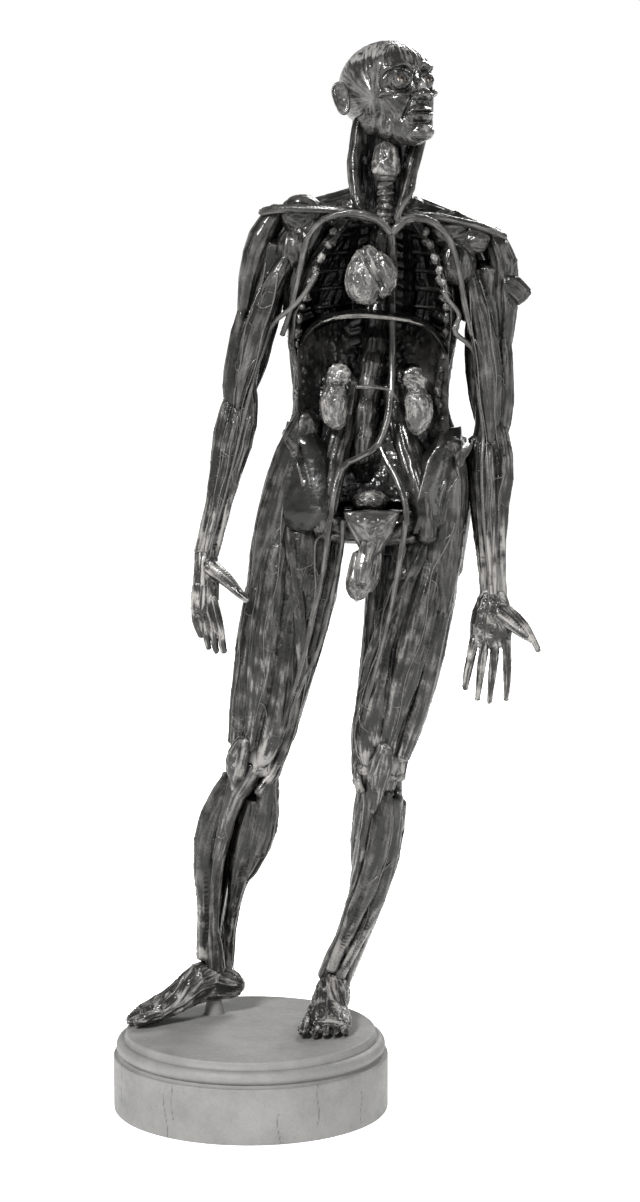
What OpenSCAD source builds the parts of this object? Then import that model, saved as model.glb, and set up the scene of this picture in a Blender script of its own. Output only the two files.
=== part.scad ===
// Standing anatomical figure on a turned wooden base.
// The front of the trunk is open, and the heart, both kidneys and the bladder lift off their pegs.
// Millimetres, +Z up, the origin at the centre of the base's rest face. The figure looks along -Y.
// "right" and "left" are the figure's own, so its right side is at -X.

/* [Base] */
// Radius of the turned base
base_r = 92; // [84:1:115]
// Height of the base, from the rest face to the flat top
base_h = 54; // [44:1:70]
// Height of the plain drum below the groove
drum_h = 38; // [26:1:40]
// Radius of the flat top disc
disc_r = 83; // [70:1:84]

/* [Figure] */
// Height of the figure from the soles to the crown
figure_h = 662; // [540:1:800]
// Thickness of the chest and belly wall
wall_t = 6; // [4:0.5:8]
// Turn of the head to the figure's left, in degrees
head_turn = 34; // [0:1:40]
// Lift of the chin, in degrees
chin_lift = 13; // [0:1:20]

/* [Armature and pegs] */
// Diameter of the steel rods in the legs and trunk
rod_d = 4; // [3:0.5:5]
// Diameter of the pegs that carry the organs
peg_d = 3; // [2:0.5:3.5]
// Diameter of the counterbores under the base
counterbore_d = 15; // [13:1:20]
// Depth of the counterbores under the base
counterbore_depth = 11; // [9:1:14]

/* [Fits] */
// Clearance all round between a peg or rod and its hole
fit_gap = 0.1; // [0.05:0.01:0.2]

/* [Hidden] */

model_h = 662;            // height that the landmarks below are given for
k = figure_h / model_h;
body_rings = 7;           // rings along a muscle
body_sides = 9;           // sides round a muscle
vessel_sides = 6;
front = [0, -1, 0];
up = [0, 0, 1];

// Landmarks, above the centre of the base's top
right_hip = [38, 15, 346];
right_knee = [1, 6, 181];
right_ankle = [-26, 38, 38];
left_hip = [114, 14, 336];
left_knee = [88, 2, 178];
left_ankle = [57, 34, 31];
right_shoulder = [17, 12, 530];
right_elbow = [-7, 12, 420];
right_wrist = [-29, 4, 324];
left_shoulder = [158, 12, 514];
left_elbow = [160, 12, 397];
left_wrist = [163, -2, 297];
head_at = [95, 3, 629];
spine_line = [[77, 34, 352], [75, 24, 374], [75, 13, 396], [78, 16, 424], [82, 23, 452], [85, 29, 482],
              [87, 30, 512], [88, 25, 540], [89, 19, 562], [91, 15, 584], [93, 13, 612]];

// A limb: top, bottom, where its front looks (degrees from -Y towards +X), outer side (-1 or 1),
// outward bow, forward bow, girth
right_thigh = [right_hip, right_knee, -25, -1, -2, 0, 1];
left_thigh = [left_hip, left_knee, 5, 1, 0, 0, 1];
right_shin = [right_knee, right_ankle, -62, -1, 0, 7, 1];
left_shin = [left_knee, left_ankle, -5, 1, 6, 0, 0.95];
right_arm = [right_shoulder, right_elbow, -10, -1, 1, 0, 1];
left_arm = [left_shoulder, left_elbow, 8, 1, 0, 0, 1.08];
right_lower_arm = [right_elbow, right_wrist, 0, 1, 1, 0, 1];
left_lower_arm = [left_elbow, left_wrist, 0, 1, -1, 0, 1.15];

// Vectors and curves
function unit(v) = v / norm(v);
function point3(s) = [s[0], s[1], s[2]];
function world(p) = [k * p[0], k * p[1], base_h + k * p[2]];
function spline(a, b, c, d, t) =
    (2 * b + (c - a) * t + (2 * a - 5 * b + 4 * c - d) * t * t + (3 * b - a - 3 * c + d) * t * t * t) / 2;
// Stations resampled along a smooth curve that passes through all of them
function eased(st, n) = let (last = len(st) - 1)
    [for (i = [0:n]) let (u = i * last / n, j = min(floor(u), last - 1))
        spline(st[max(j - 1, 0)], st[j], st[j + 1], st[min(j + 2, last)], u - j)];

// A limb's own directions
function limb_axis(limb) = unit(limb[1] - limb[0]);
function limb_front(limb) = let (d = limb_axis(limb), f = [sin(limb[2]), -cos(limb[2]), 0]) unit(f - (f * d) * d);
function limb_outer(limb) = cross(limb_front(limb), limb_axis(limb)) * limb[3];
// Limb stations [along 0 to 1, outwards, forwards, half width, half depth] as points with radii
function on_limb(limb, st) =
    [for (s = st) let (bow = 4 * max(0, s[0] * (1 - s[0])), g = limb[6],
                       p = limb[0] + (limb[1] - limb[0]) * s[0]
                           + limb_outer(limb) * (g * s[1] + bow * limb[4])
                           + limb_front(limb) * (g * s[2] + bow * limb[5]))
        [p[0], p[1], p[2], g * s[3], g * s[4]]];

// Triangles between rings of n points, closed by a point at each end
function tube_faces(n, m) = concat(
    [for (i = [0:m - 2], j = [0:n - 1]) let (a = i * n + j, b = i * n + (j + 1) % n) [a, b, b + n]],
    [for (i = [0:m - 2], j = [0:n - 1]) let (a = i * n + j, b = i * n + (j + 1) % n) [a, b + n, a + n]],
    [for (j = [0:n - 1]) [m * n, (j + 1) % n, j]],
    [for (j = [0:n - 1]) [m * n + 1, (m - 1) * n + j, (m - 1) * n + (j + 1) % n]]);
function ring_tangent(st, i) = unit(point3(st[min(i + 1, len(st) - 1)]) - point3(st[max(i - 1, 0)]));

// A smooth spindle through stations [x, y, z, half width, half depth], its depth towards ref
module spindle(st, ref = front, sides = body_sides, rings = body_rings) {
    line = eased(st, rings);
    m = len(line);
    points = [for (i = [0:m - 1]) let (d = ring_tangent(line, i), w = unit(cross(d, ref)), h = cross(w, d))
              for (j = [0:sides - 1]) let (a = 360 * j / sides)
                  world(point3(line[i]) + w * line[i][3] * cos(a) + h * line[i][4] * sin(a))];
    first = world(point3(line[0]) - ring_tangent(line, 0) * min(line[0][3], line[0][4]) * 0.6);
    last = world(point3(line[m - 1]) + ring_tangent(line, m - 1) * min(line[m - 1][3], line[m - 1][4]) * 0.6);
    polyhedron(concat(points, [first, last]), tube_faces(sides, m), convexity = 6);
}
module limb_spindle(limb, st, sides = body_sides, rings = body_rings) {
    spindle(on_limb(limb, st), limb_front(limb), sides, rings);
}
// A round vessel through stations [x, y, z, radius]
module vessel(st, rings = 10, ref = front) {
    spindle([for (s = st) [s[0], s[1], s[2], s[3], s[3]]], ref, vessel_sides, rings);
}
// A straight round bar between two landmarks
module bar(a, b, d, extra = 0) {
    p = world(a);
    q = world(b);
    v = q - p;
    translate(p) rotate([0, acos(v[2] / norm(v)), atan2(v[1], v[0])]) translate([0, 0, -extra])
        cylinder(h = norm(v) + 2 * extra, d = d, $fn = 32);
}

// ---- Base and armature ----
bead_r = (base_h - drum_h) * 0.3;      // radius of the round bead
groove = 1.2;                          // depth of the groove under the bead
left_rod_at = [left_ankle[0], left_ankle[1]];
right_rod_at = [right_ankle[0], right_ankle[1]];
rod_end_z = 3;                         // the rods stop short of the rest face
side_bar_d = rod_d * 0.86;              // bars to the shoulders
weld_d = rod_d * 1.4;                  // weld beads where rods meet
nut_h = 3.2;
nut_flats = 1.75;                      // width across flats, as a multiple of the rod
washer_h = 1;
washer_d = counterbore_d - 3;

module base_profile() {
    bead_top = drum_h + 2 * bead_r + 1;
    polygon(concat(
        [[0, 0], [base_r - 1.5, 0], [base_r, 1.5], [base_r, drum_h - 0.6], [base_r - groove, drum_h]],
        [for (a = [-60:15:90]) [base_r - groove - bead_r * 0.3 + bead_r * cos(a) - bead_r * 0.2,
                                drum_h + 1 + bead_r + bead_r * sin(a)]],
        [[disc_r + 2.6, bead_top], [disc_r + 1.4, bead_top + 0.8],
         [disc_r + 0.4, base_h - 0.4], [disc_r - 0.4, base_h], [0, base_h]]));
}
module at_rods() {
    for (p = [left_rod_at, right_rod_at]) translate([k * p[0], k * p[1], 0]) children();
}
module wooden_base() {
    color("dimgray") difference() {
        rotate_extrude($fn = 96) base_profile();
        at_rods() translate([0, 0, -1]) cylinder(h = base_h + 2, d = rod_d + 2 * fit_gap, $fn = 32);
        at_rods() translate([0, 0, -1]) cylinder(h = counterbore_depth + 1, d = counterbore_d, $fn = 48);
    }
}
module leg_rod(at, ankle, knee, hip) {
    translate([k * at[0], k * at[1], rod_end_z])
        cylinder(h = base_h - rod_end_z + k * ankle[2], d = rod_d, $fn = 32);
    bar(ankle, knee, rod_d);
    bar(knee, hip, rod_d);
    for (p = [ankle, knee]) translate(world(p)) sphere(d = weld_d, $fn = 32);
}
module right_leg_rod() { color("silver") leg_rod(right_rod_at, right_ankle, right_knee, right_hip); }
module left_leg_rod() { color("silver") leg_rod(left_rod_at, left_ankle, left_knee, left_hip); }

hip_bar_right = right_hip + [4, 2, 8];
hip_bar_left = left_hip + [-4, 2, 14];
rod_line = [spine_line[0], spine_line[2], spine_line[4], spine_line[6], spine_line[8], head_at + [-2, 8, -8]];
// The bars to the shoulders leave the trunk rod at the neck and run inside the muscle above the chest
shoulder_bars = [[rod_line[4], [30, 16, 550], right_shoulder], [rod_line[4], [146, 16, 540], left_shoulder]];
module trunk_rod() {
    color("silver") {
        for (i = [1:len(rod_line) - 1]) bar(rod_line[i - 1], rod_line[i], rod_d);
        for (p = [hip_bar_right, hip_bar_left]) bar(p, rod_line[0], rod_d);
        for (s = shoulder_bars, i = [1, 2]) bar(s[i - 1], s[i], side_bar_d);
        for (s = shoulder_bars) translate(world(s[1])) sphere(d = weld_d, $fn = 32);
        for (p = [for (i = [0:len(rod_line) - 2]) rod_line[i]]) translate(world(p)) sphere(d = weld_d, $fn = 32);
    }
}
module rod_nuts() {
    color("silver") at_rods() translate([0, 0, counterbore_depth - washer_h - nut_h]) difference() {
        cylinder(h = nut_h, d = rod_d * nut_flats / cos(30), $fn = 6);
        translate([0, 0, -1]) cylinder(h = nut_h + 2, d = rod_d + 2 * fit_gap, $fn = 32);
    }
}
module rod_washers() {
    color("silver") at_rods() translate([0, 0, counterbore_depth - washer_h]) difference() {
        cylinder(h = washer_h, d = washer_d, $fn = 48);
        translate([0, 0, -1]) cylinder(h = washer_h + 2, d = rod_d + 2 * fit_gap, $fn = 32);
    }
}
module heel_prop() {
    color("dimgray") translate([k * right_rod_at[0], k * right_rod_at[1], base_h]) difference() {
        cylinder(h = 10 * k, r1 = 7, r2 = 5, $fn = 48);
        translate([0, 0, -1]) cylinder(h = 10 * k + 2, d = rod_d + 2 * fit_gap, $fn = 32);
    }
}

// ---- Feet ----
// Stations [forwards, outwards, up, half width, half height] from the ankle's foot point
foot_body = [[-21, 0, 8, 5, 5], [-16, 0, 9, 9, 9], [-6, 0, 12, 10.5, 12], [6, -1, 18, 11, 15],
             [18, -1, 15, 12, 12.5], [31, 0, 10, 15, 9], [43, 1, 7, 17, 6.5], [52, 1, 5.5, 16, 4.5]];
toes = [[-12, 18, 5.2], [-4.5, 19, 3.6], [2, 17, 3.4], [8.2, 14, 3.2], [14, 10, 3]];
// A foot: the ankle, where the toes point, outer side, lift of the heel
module foot(ankle, toe_turn, side, lift) {
    f = [sin(toe_turn), -cos(toe_turn), 0];
    out = cross(f, -up) * side;
    root = [ankle[0], ankle[1], 0];
    function slope(s) = lift * max(0, min(1, (50 - s) / 60));
    function place(s) = root + f * s[0] + out * s[1] + up * (s[2] + slope(s[0]));
    function placed(st) = [for (s = st) let (p = place(s)) [p[0], p[1], p[2], s[3], s[4]]];
    difference() {
        union() {
            spindle(placed(foot_body), up, 12, 10);
            for (t = toes)
                spindle(placed([[46, t[0] * 0.94, t[2] + 1.4, t[2] * 0.8, t[2] * 0.9],
                                [46 + t[1] * 0.45, t[0], t[2] + 1.6, t[2] * 0.92, t[2] * 0.95],
                                [46 + t[1] * 0.8, t[0] * 1.03, t[2] + 0.2, t[2] * 0.95, t[2] * 0.9],
                                [46 + t[1] * 1.12, t[0] * 1.04, t[2] - 0.4, t[2] * 0.55, t[2] * 0.5]]), up, 8, 5);
        }
        translate([-150 * k, -150 * k, base_h - 20]) cube([300 * k, 300 * k, 20]);
    }
}
module right_foot() { color("gray") foot(right_ankle, -62, -1, 9); }
module left_foot() { color("gray") foot(left_ankle, -8, 1, 0); }

// ---- Legs ----
tibia = [[-0.03, -1, 2, 14, 11], [0.06, -1, 4, 13, 10], [0.17, -3, 7, 7, 7], [0.45, -5, 8, 4, 5],
         [0.78, -5, 5, 4, 4.5], [0.93, -4, 2, 7, 7], [1.04, -6, 0, 6, 7]];
fibula = [[0.08, 12, -3, 4, 4], [0.45, 9, -4, 2.5, 2.5], [0.88, 9, -4, 3.2, 3.5], [1.07, 9.5, -3, 4, 5]];
shin_fronts = [
    [[0.08, 5, 8, 4, 4], [0.25, 5, 13, 6, 7.5], [0.45, 4, 13, 6, 7.5], [0.7, 0, 9, 4, 5], [0.97, -3, 8, 2.2, 2.6]],
    [[0.1, 12, 4, 4, 5], [0.3, 13, 5, 5.5, 8], [0.52, 12, 4, 5.5, 7], [0.78, 8, 4, 3.5, 4], [1.0, 4, 7, 2.2, 2.4]],
    [[0.14, 15, -4, 3, 5], [0.38, 15, -5, 4, 6], [0.62, 13, -6, 3.6, 5], [0.85, 11, -8, 2.4, 3], [1.04, 10, -9, 2, 2.6]]];
calf_backs = [
    [[-0.08, -8, -9, 4, 4], [0.08, -9, -13, 7, 6], [0.25, -9, -18, 8.5, 9], [0.42, -8, -18, 8, 8], [0.56, -5, -14, 4, 4]],
    [[-0.08, 7, -9, 4, 4], [0.08, 8, -12, 6.5, 6], [0.25, 8, -16, 7.5, 8], [0.4, 7, -16, 7, 7], [0.53, 4, -13, 4, 4]],
    [[0.16, 0, -7, 11, 5], [0.36, 0, -9, 13, 7], [0.56, 0, -11, 10.5, 6.5], [0.75, 0, -11, 5.5, 4],
     [0.92, 0, -11, 3.6, 3], [1.14, 0, -13, 4.6, 3.4]]];
patella = [[-0.15, 0, 13, 5, 3], [-0.08, 0, 16, 8.5, 5], [0.0, 0, 16.5, 8.5, 5], [0.07, 0, 14, 5, 3.4],
           [0.18, -1, 12.5, 3.8, 2.4]];
module shin_bones(limb) {
    limb_spindle(limb, tibia, 12, 10);
    limb_spindle(limb, fibula, 8, 7);
}
module spindles(limb, shapes) { for (s = shapes) limb_spindle(limb, s); }
module right_shin_bones() { color("gainsboro") shin_bones(right_shin); }
module left_shin_bones() { color("gainsboro") shin_bones(left_shin); }
module right_shin_muscles() { color("dimgray") spindles(right_shin, shin_fronts); }
module left_shin_muscles() { color("dimgray") spindles(left_shin, shin_fronts); }
module right_calf() { color("dimgray") spindles(right_shin, calf_backs); }
module left_calf() { color("dimgray") spindles(left_shin, calf_backs); }
module right_kneecap() { color("silver") limb_spindle([right_knee, right_ankle, -40, -1, 0, 0, 1], patella); }
module left_kneecap() { color("silver") limb_spindle(left_shin, patella); }

thigh_heart = [[-0.06, 0, 0, 20, 20], [0.15, 0, 0, 25, 24], [0.4, 0, -1, 23, 22], [0.7, 0, -1, 18, 17],
               [1.02, 0, 0, 17, 14]];
thigh_fronts = [
    [[-0.12, 12, 14, 5, 4], [0.1, 9, 19, 9, 7], [0.4, 5, 21, 10.5, 8.5], [0.65, 2, 18, 9, 7], [0.82, 0, 15, 6, 4],
     [0.93, 0, 15, 5, 3]],
    [[0.06, 21, 2, 6, 9], [0.28, 20, 5, 9.5, 15], [0.55, 17, 6, 10.5, 14], [0.78, 13, 8, 9, 9], [0.93, 10, 9, 6, 6]],
    [[0.36, -7, 12, 6, 7], [0.55, -10, 11, 8.5, 10], [0.74, -12, 9, 9.5, 10.5], [0.88, -12, 8, 9, 9],
     [0.98, -9, 7, 5, 5]]];
thigh_inners = [
    [[-0.26, 20, 16, 4, 3.4], [-0.05, 8, 21, 4.4, 3.4], [0.2, -6, 20, 4.6, 3.4], [0.45, -18, 11, 4.4, 3.6],
     [0.75, -21, 0, 3.8, 4.4], [1.0, -17, 0, 3, 4], [1.1, -12, 6, 2.6, 3]],
    [[-0.04, -14, 6, 7, 6], [0.14, -16, 5, 8, 10], [0.36, -14, 2, 8, 10], [0.6, -12, -4, 5, 6]],
    [[0.0, -21, -3, 3.4, 6], [0.25, -24, -4, 4.4, 8], [0.55, -20, -7, 4.4, 7], [0.85, -17, -9, 3, 4],
     [1.05, -13, -6, 2.4, 3]]];
thigh_backs = [
    [[0.02, 7, -15, 8, 7], [0.3, 10, -19, 9, 9], [0.6, 10, -17, 8, 8], [0.85, 13, -12, 4.4, 5], [1.03, 15, -9, 3, 3]],
    [[0.02, -8, -16, 8, 7], [0.3, -9, -19, 9, 9], [0.6, -9, -17, 8, 8], [0.85, -12, -13, 4.4, 5],
     [1.03, -13, -11, 3, 3]]];
hips = [
    [[-0.36, -6, -13, 9, 6], [-0.18, 2, -21, 19, 10], [0.0, 6, -21, 20, 12], [0.2, 12, -15, 11, 8]],
    [[-0.36, 14, -2, 7, 13], [-0.2, 20, -1, 8, 16], [0.0, 23, -2, 6.5, 13], [0.14, 25, -1, 4.5, 8]],
    [[-0.4, 6, 22, 6, 6], [-0.28, 9, 22, 10, 9], [-0.1, 12, 21, 12, 9], [0.1, 15, 18, 11, 8], [0.36, 20, 9, 6, 6]]];
module right_thigh_core() { color("gray") limb_spindle(right_thigh, thigh_heart); }
module left_thigh_core() { color("gray") limb_spindle(left_thigh, thigh_heart); }
module right_thigh_front() { color("dimgray") spindles(right_thigh, thigh_fronts); }
module left_thigh_front() { color("dimgray") spindles(left_thigh, thigh_fronts); }
module right_thigh_inner() { color("dimgray") spindles(right_thigh, thigh_inners); }
module left_thigh_inner() { color("dimgray") spindles(left_thigh, thigh_inners); }
module right_thigh_back() { color("dimgray") spindles(right_thigh, thigh_backs); }
module left_thigh_back() { color("dimgray") spindles(left_thigh, thigh_backs); }
module right_hip_muscles() { color("dimgray") spindles(right_thigh, hips); }
module left_hip_muscles() { color("dimgray") spindles(left_thigh, hips); }

// ---- Trunk ----
// Wall sections [centre x, centre y, height, half width, half depth, half angle of the open front]
chest_sections = [[80, 14, 431, 50.5, 36, 68], [81, 14, 447, 52, 37, 67], [81, 14, 464, 56, 38, 66],
                  [82, 14, 484, 56.5, 39, 64], [84, 14, 501, 53, 39, 58], [85, 14, 520, 47, 37, 56],
                  [86, 15, 534, 38, 33, 52], [87, 16, 546, 26, 26, 50]];
belly_sections = [[79, 14, 336, 46, 30, 16], [80, 14, 352, 52, 33, 24], [81, 14, 368, 56, 35, 38],
                  [82, 14, 386, 59, 36, 52], [82, 14, 402, 58, 36, 60], [81, 14, 416, 53, 35, 66],
                  [80, 14, 430.4, 50.5, 35, 68]];
squareness = 0.85;                     // below 1 the wall's section is fuller than an ellipse
function bulge(v) = sign(v) * pow(abs(v), squareness);
function at_height(sections, z, i) = lookup(z, [for (s = sections) [s[2], s[i]]]);
// A point on the wall: angle from the front, height, and how far inside the outer skin
function wall_point(sections, a, z, inset) =
    [at_height(sections, z, 0) + (at_height(sections, z, 3) - inset) * bulge(sin(a)),
     at_height(sections, z, 1) - (at_height(sections, z, 4) - inset) * bulge(cos(a)), z];
// A wall round the trunk, open at the front
module trunk_wall(sections, steps = 16) {
    n = steps + 1;
    m = len(sections);
    points = [for (s = sections) each concat(
        [for (j = [0:steps]) world(wall_point(sections, s[5] + j * (360 - 2 * s[5]) / steps, s[2], 0))],
        [for (j = [steps:-1:0]) world(wall_point(sections, s[5] + j * (360 - 2 * s[5]) / steps, s[2], wall_t))])];
    r = 2 * n;
    sides = [for (i = [0:m - 2], j = [0:r - 1]) let (a = i * r + j, b = i * r + (j + 1) % r)
             each [[a, b, b + r], [a, b + r, a + r]]];
    caps = [for (j = [0:steps - 1]) let (o = j, q = r - 1 - j, t = (m - 1) * r)
            each [[o, q, q - 1], [o, q - 1, o + 1], [t + o, t + q - 1, t + q], [t + o, t + o + 1, t + q - 1]]];
    polyhedron(points, [for (f = concat(sides, caps)) [f[0], f[2], f[1]]], convexity = 8);
}
module chest_wall() { color("dimgray") trunk_wall(chest_sections); }
module belly_wall() { color("dimgray") trunk_wall(belly_sections); }

rib_count = 9;
rib_top = 534;
rib_pitch = 12.2;
rib_drop = 5;                          // a rib's front end lies this much lower than its back
module ribs() {
    color("gainsboro") for (i = [0:rib_count - 1], side = [-1, 1]) {
        z = rib_top - i * rib_pitch;
        edge = at_height(chest_sections, z, 5);
        spindle([for (u = [0:0.2:1])
                 let (a = side * (168 + u * (edge - 166.5)), h = z - rib_drop * u + rib_drop / 2,
                      p = wall_point(chest_sections, a, h, wall_t * (u > 0.9 ? 0.55 : 0.95)))
                 [p[0], p[1], p[2], u > 0.9 ? 3.4 : 2.4, u > 0.9 ? 3.2 : 1.8]], up, 6, 6);
    }
}
module diaphragm() {
    color("dimgray") spindle([[34, 8, 463, 16, 1.8], [41, 8, 474, 26, 2.2], [52, 8, 481, 32, 2.2],
                              [70, 7, 484, 35, 2.2], [90, 7, 483, 35, 2.2], [110, 8, 479, 33, 2.2],
                              [122, 8, 472, 28, 2.2], [130, 8, 458, 16, 1.8]], up, 12, 12);
}
module back_muscles() {
    color("dimgray") {
        for (x = [-1, 1])
            spindle([for (i = [0:8]) let (p = spine_line[i + 1], w = [9, 11, 12, 12, 12, 11, 10, 8, 6][i])
                     [p[0] + x * (w + 1), i > 6 ? p[1] + 12 : max(p[1] + 12, 44 - i), p[2], w, 9]], front, 10, 12);
        spindle([[42, 38, 400, 14, 5], [40, 36, 430, 12, 6], [36, 32, 465, 11, 7], [33, 24, 500, 9, 8],
                 [29, 17, 524, 6, 6]], front);
        spindle([[120, 38, 400, 14, 5], [122, 36, 430, 12, 6], [128, 32, 465, 11, 7], [136, 24, 500, 9, 8],
                 [143, 17, 520, 6, 6]], front);
    }
}

body_r = 10.4;                         // radius of a low vertebra; the upper ones get smaller
waist = 1.6;                       // how much narrower the spine is at the middle of each vertebra
vertebrae = 18;
module spine() {
    line = eased(spine_line, 2 * vertebrae);
    color("gainsboro")
        spindle([for (i = [0:2 * vertebrae]) let (r = body_r * (1 - 0.009 * i) - (i % 2) * waist)
                 [line[i][0], line[i][1], line[i][2], r, r]], front, 12, 2 * vertebrae);
}
module loin_muscles() {
    color("dimgray") {
        spindle([[68, 18, 440, 6, 6], [64, 14, 418, 8, 8], [58, 0, 392, 9, 8], [53, -15, 366, 8, 7],
                 [48, -16, 342, 7, 6]], front);
        spindle([[94, 18, 436, 6, 6], [99, 14, 414, 8, 8], [108, 0, 388, 9.5, 8], [116, -16, 362, 8.5, 7],
                 [118, -16, 336, 7, 6]], front);
        spindle([[56, 28, 446, 14, 10], [55, 24, 428, 18, 15], [52, 20, 402, 18, 14], [50, 10, 378, 14, 12]], front);
        spindle([[110, 28, 446, 14, 10], [112, 24, 424, 18, 15], [115, 20, 398, 18, 14], [118, 10, 374, 14, 12]], front);
        spindle([[32, 0, 398, 5, 8], [37, -5, 386, 9, 8], [43, -12, 368, 10, 7], [45, -14, 350, 8, 6]], front);
        spindle([[136, 0, 392, 5, 8], [131, -5, 380, 9, 8], [124, -12, 362, 10, 7], [122, -14, 346, 8, 6]], front);
    }
}
floor_at = [80, 6, 340];               // middle of the pelvic floor
module pelvis() {
    color("gainsboro") {
        for (s = [[30, 26, 28, 50, 0], [139, 144, 140, 112, -6]])
            spindle([[s[0], -19, 392 + s[4], 2.6, 3], [s[0], -13, 397 + s[4], 4.4, 4], [s[1], 2, 402 + s[4], 4.4, 3.6],
                     [s[2], 24, 404 + s[4], 4.4, 3.6],
                     [s[3], 42, 394 + s[4], 5, 4]], up, 8, 8);
        spindle([[76, 42, 392, 13, 7], [77, 45, 372, 15, 8], [78, 42, 350, 9, 6], [79, 36, 336, 4, 4]], front);
        spindle([[46, 6, 340, 22, 6], [62, 6, 338, 26, 6], [98, 6, 336, 26, 6], [110, 6, 338, 22, 6]], up, 12, 6);
        spindle([[44, -6, 352, 6, 6], [60, -19, 346, 5, 5], [81, -22, 338, 6, 4], [101, -19, 344, 5, 5],
                 [112, -6, 348, 6, 6]], up, 8, 8);
    }
}
module pubic_plate() {
    color("gray") spindle([[81, -24, 328, 6, 4], [81, -26, 338, 12, 5], [81, -27, 348, 17, 4.5],
                           [81, -26, 355.5, 19, 3.6]], front, 14, 6);
}
module genital_piece() {
    color("gray") {
        spindle([[80, -26, 334, 6, 5], [77, -33, 330, 5.5, 5.5], [75, -38, 320, 5.5, 5.5], [73.5, -40, 311, 4, 4]], front);
        spindle([[74, -22, 328, 6, 5], [73, -26, 316, 8.5, 7], [72, -29, 306, 9, 8], [71, -29, 299, 5, 5]], front);
        spindle([[82, -22, 330, 6, 5], [81, -25, 320, 7, 6], [79, -27, 310, 7, 6], [78, -27, 304, 4, 4]], front);
    }
}

// ---- Lift-out organs and their pegs ----
heart_at = [78, -22, 508];
right_kidney_at = [58, -8, 424];
left_kidney_at = [110.5, -8, 421];
bladder_at = [80, -4, 361];
bladder_pull = [0, -0.7, 0.714];       // the way the bladder comes off
heart_bore = 8;                        // how far a bore runs past an organ's centre
kidney_bore = 1;
bladder_bore = 1;
heart_peg_from = 30;                   // where the pegs start, behind the organs' centres
kidney_peg_from = 30;
bladder_peg_from = 20;
peg_slack = 0.5;                       // a peg stops this much short of its bore's end
// A rod from behind the organ to a point past its centre, along the way it pulls off
module along_pull(at, pull, from, to, d) {
    v = unit(pull);
    translate(world(at) - v * from) rotate([0, acos(v[2]), atan2(v[1], v[0])]) cylinder(h = from + to, d = d, $fn = 32);
}
module bore(at, pull, from, to) { along_pull(at, pull, from, to, peg_d + 2 * fit_gap); }
module heart() {
    color("silver") difference() {
        union() {
            spindle([[79, -20, 528, 5, 4], [78, -21, 521, 10, 8], [77, -22, 509, 14, 11], [77, -23, 500, 12.5, 10],
                     [79, -24, 494, 6, 6]], front, 14, 10);
            spindle([[84, -25, 524, 3.5, 3], [89, -27, 517, 6.5, 6], [91, -27, 507, 6.5, 6], [88, -26, 498, 4, 4]], front);
        }
        bore(heart_at, front, heart_peg_from, heart_bore);
    }
}
module kidney(at, side) {
    x = at[0];
    y = at[1];
    z = at[2];
    color("silver") difference() {
        union() {
            spindle([[x - side * 1, y, z + 13, 6, 5], [x + side * 1, y, z + 7, 9, 7], [x + side * 2, y, z, 9.4, 7.5],
                     [x + side * 1, y, z - 8, 8.6, 7], [x - side * 1, y, z - 14, 5, 4.5]], front, 14, 10);
            spindle([[x + side * 2, y + 2, z + 12, 4, 3], [x, y + 2, z + 17, 8, 4.5], [x - side * 1, y + 3, z + 22, 9, 4.5],
                     [x + side * 1, y + 3, z + 27, 5, 3]], front);
        }
        bore(at, front, kidney_peg_from, kidney_bore);
    }
}
module right_kidney() { kidney(right_kidney_at, -1); }
module left_kidney() { kidney(left_kidney_at, 1); }
module bladder() {
    c = bladder_at;
    color("silver") difference() {
        spindle([[c[0] - 10, c[1], c[2], 5, 4.5], [c[0] - 6, c[1], c[2], 7.6, 6.6], [c[0], c[1], c[2], 8.2, 7.2],
                 [c[0] + 6, c[1], c[2], 7.6, 6.6], [c[0] + 10, c[1], c[2], 5, 4.5]], up, 14, 8);
        bore(c, bladder_pull, bladder_peg_from, bladder_bore);
    }
}
module organ_pegs() {
    color("silver") {
        along_pull(heart_at, front, heart_peg_from + 20, heart_bore - peg_slack, peg_d);
        along_pull(right_kidney_at, front, kidney_peg_from, kidney_bore - peg_slack, peg_d);
        along_pull(left_kidney_at, front, kidney_peg_from, kidney_bore - peg_slack, peg_d);
        along_pull(bladder_at, bladder_pull, bladder_peg_from, bladder_bore - peg_slack, peg_d);
    }
}

// ---- Vessels ----
module aorta() {
    color("silver") {
        vessel([[93, -20, 541, 3], [94, -15, 530, 3.2], [95, -2, 514, 3], [95, 8, 496, 2.8], [95, 9, 474, 2.6],
                [95, 6, 450, 2.6], [94, 0, 434, 2.6], [91, -6, 412, 2.6], [84, -10, 397, 2.6], [74, -15, 391, 2.4],
                [62, -22, 385, 2.3], [57, -28, 370, 2.3], [54, -31, 350, 2.3]], 26);
        vessel([[86, -9, 400, 2.1], [91, -15, 388, 2.3], [98, -23, 376, 2.3], [103, -29, 362, 2.3], [104, -31, 348, 2.3]]);
        vessel([[93, 0, 434, 1.6], [84, -4, 436, 1.6], [77, -4, 436, 1.6], [70.5, -3, 436, 1.4]], 6);
        vessel([[93, 0, 434, 1.6], [97, -2, 430, 1.5], [99, -3, 426, 1.3]], 4);
    }
}
module shoulder_vessels() {
    color("silver") {
        vessel([[93, -22, 538, 3], [84, -25, 547, 2.8], [66, -22, 551, 2.8], [49, -18, 546, 2.6], [39, -14, 534, 2.5],
                [34, -8, 514, 2.2], [29, -3, 490, 2.1], [22, 0, 470, 2]], 14);
        vessel([[94, -22, 538, 3], [104, -24, 547, 2.8], [120, -22, 545, 2.6], [132, -18, 532, 2.5], [138, -12, 512, 2.2],
                [142, -6, 490, 2.1], [147, -3, 470, 2]], 14);
        vessel([[97, -22, 546, 2.6], [101, -18, 556, 2.4], [107, -12, 566, 2.2], [110, -4, 584, 2]], 6);
    }
}
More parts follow.
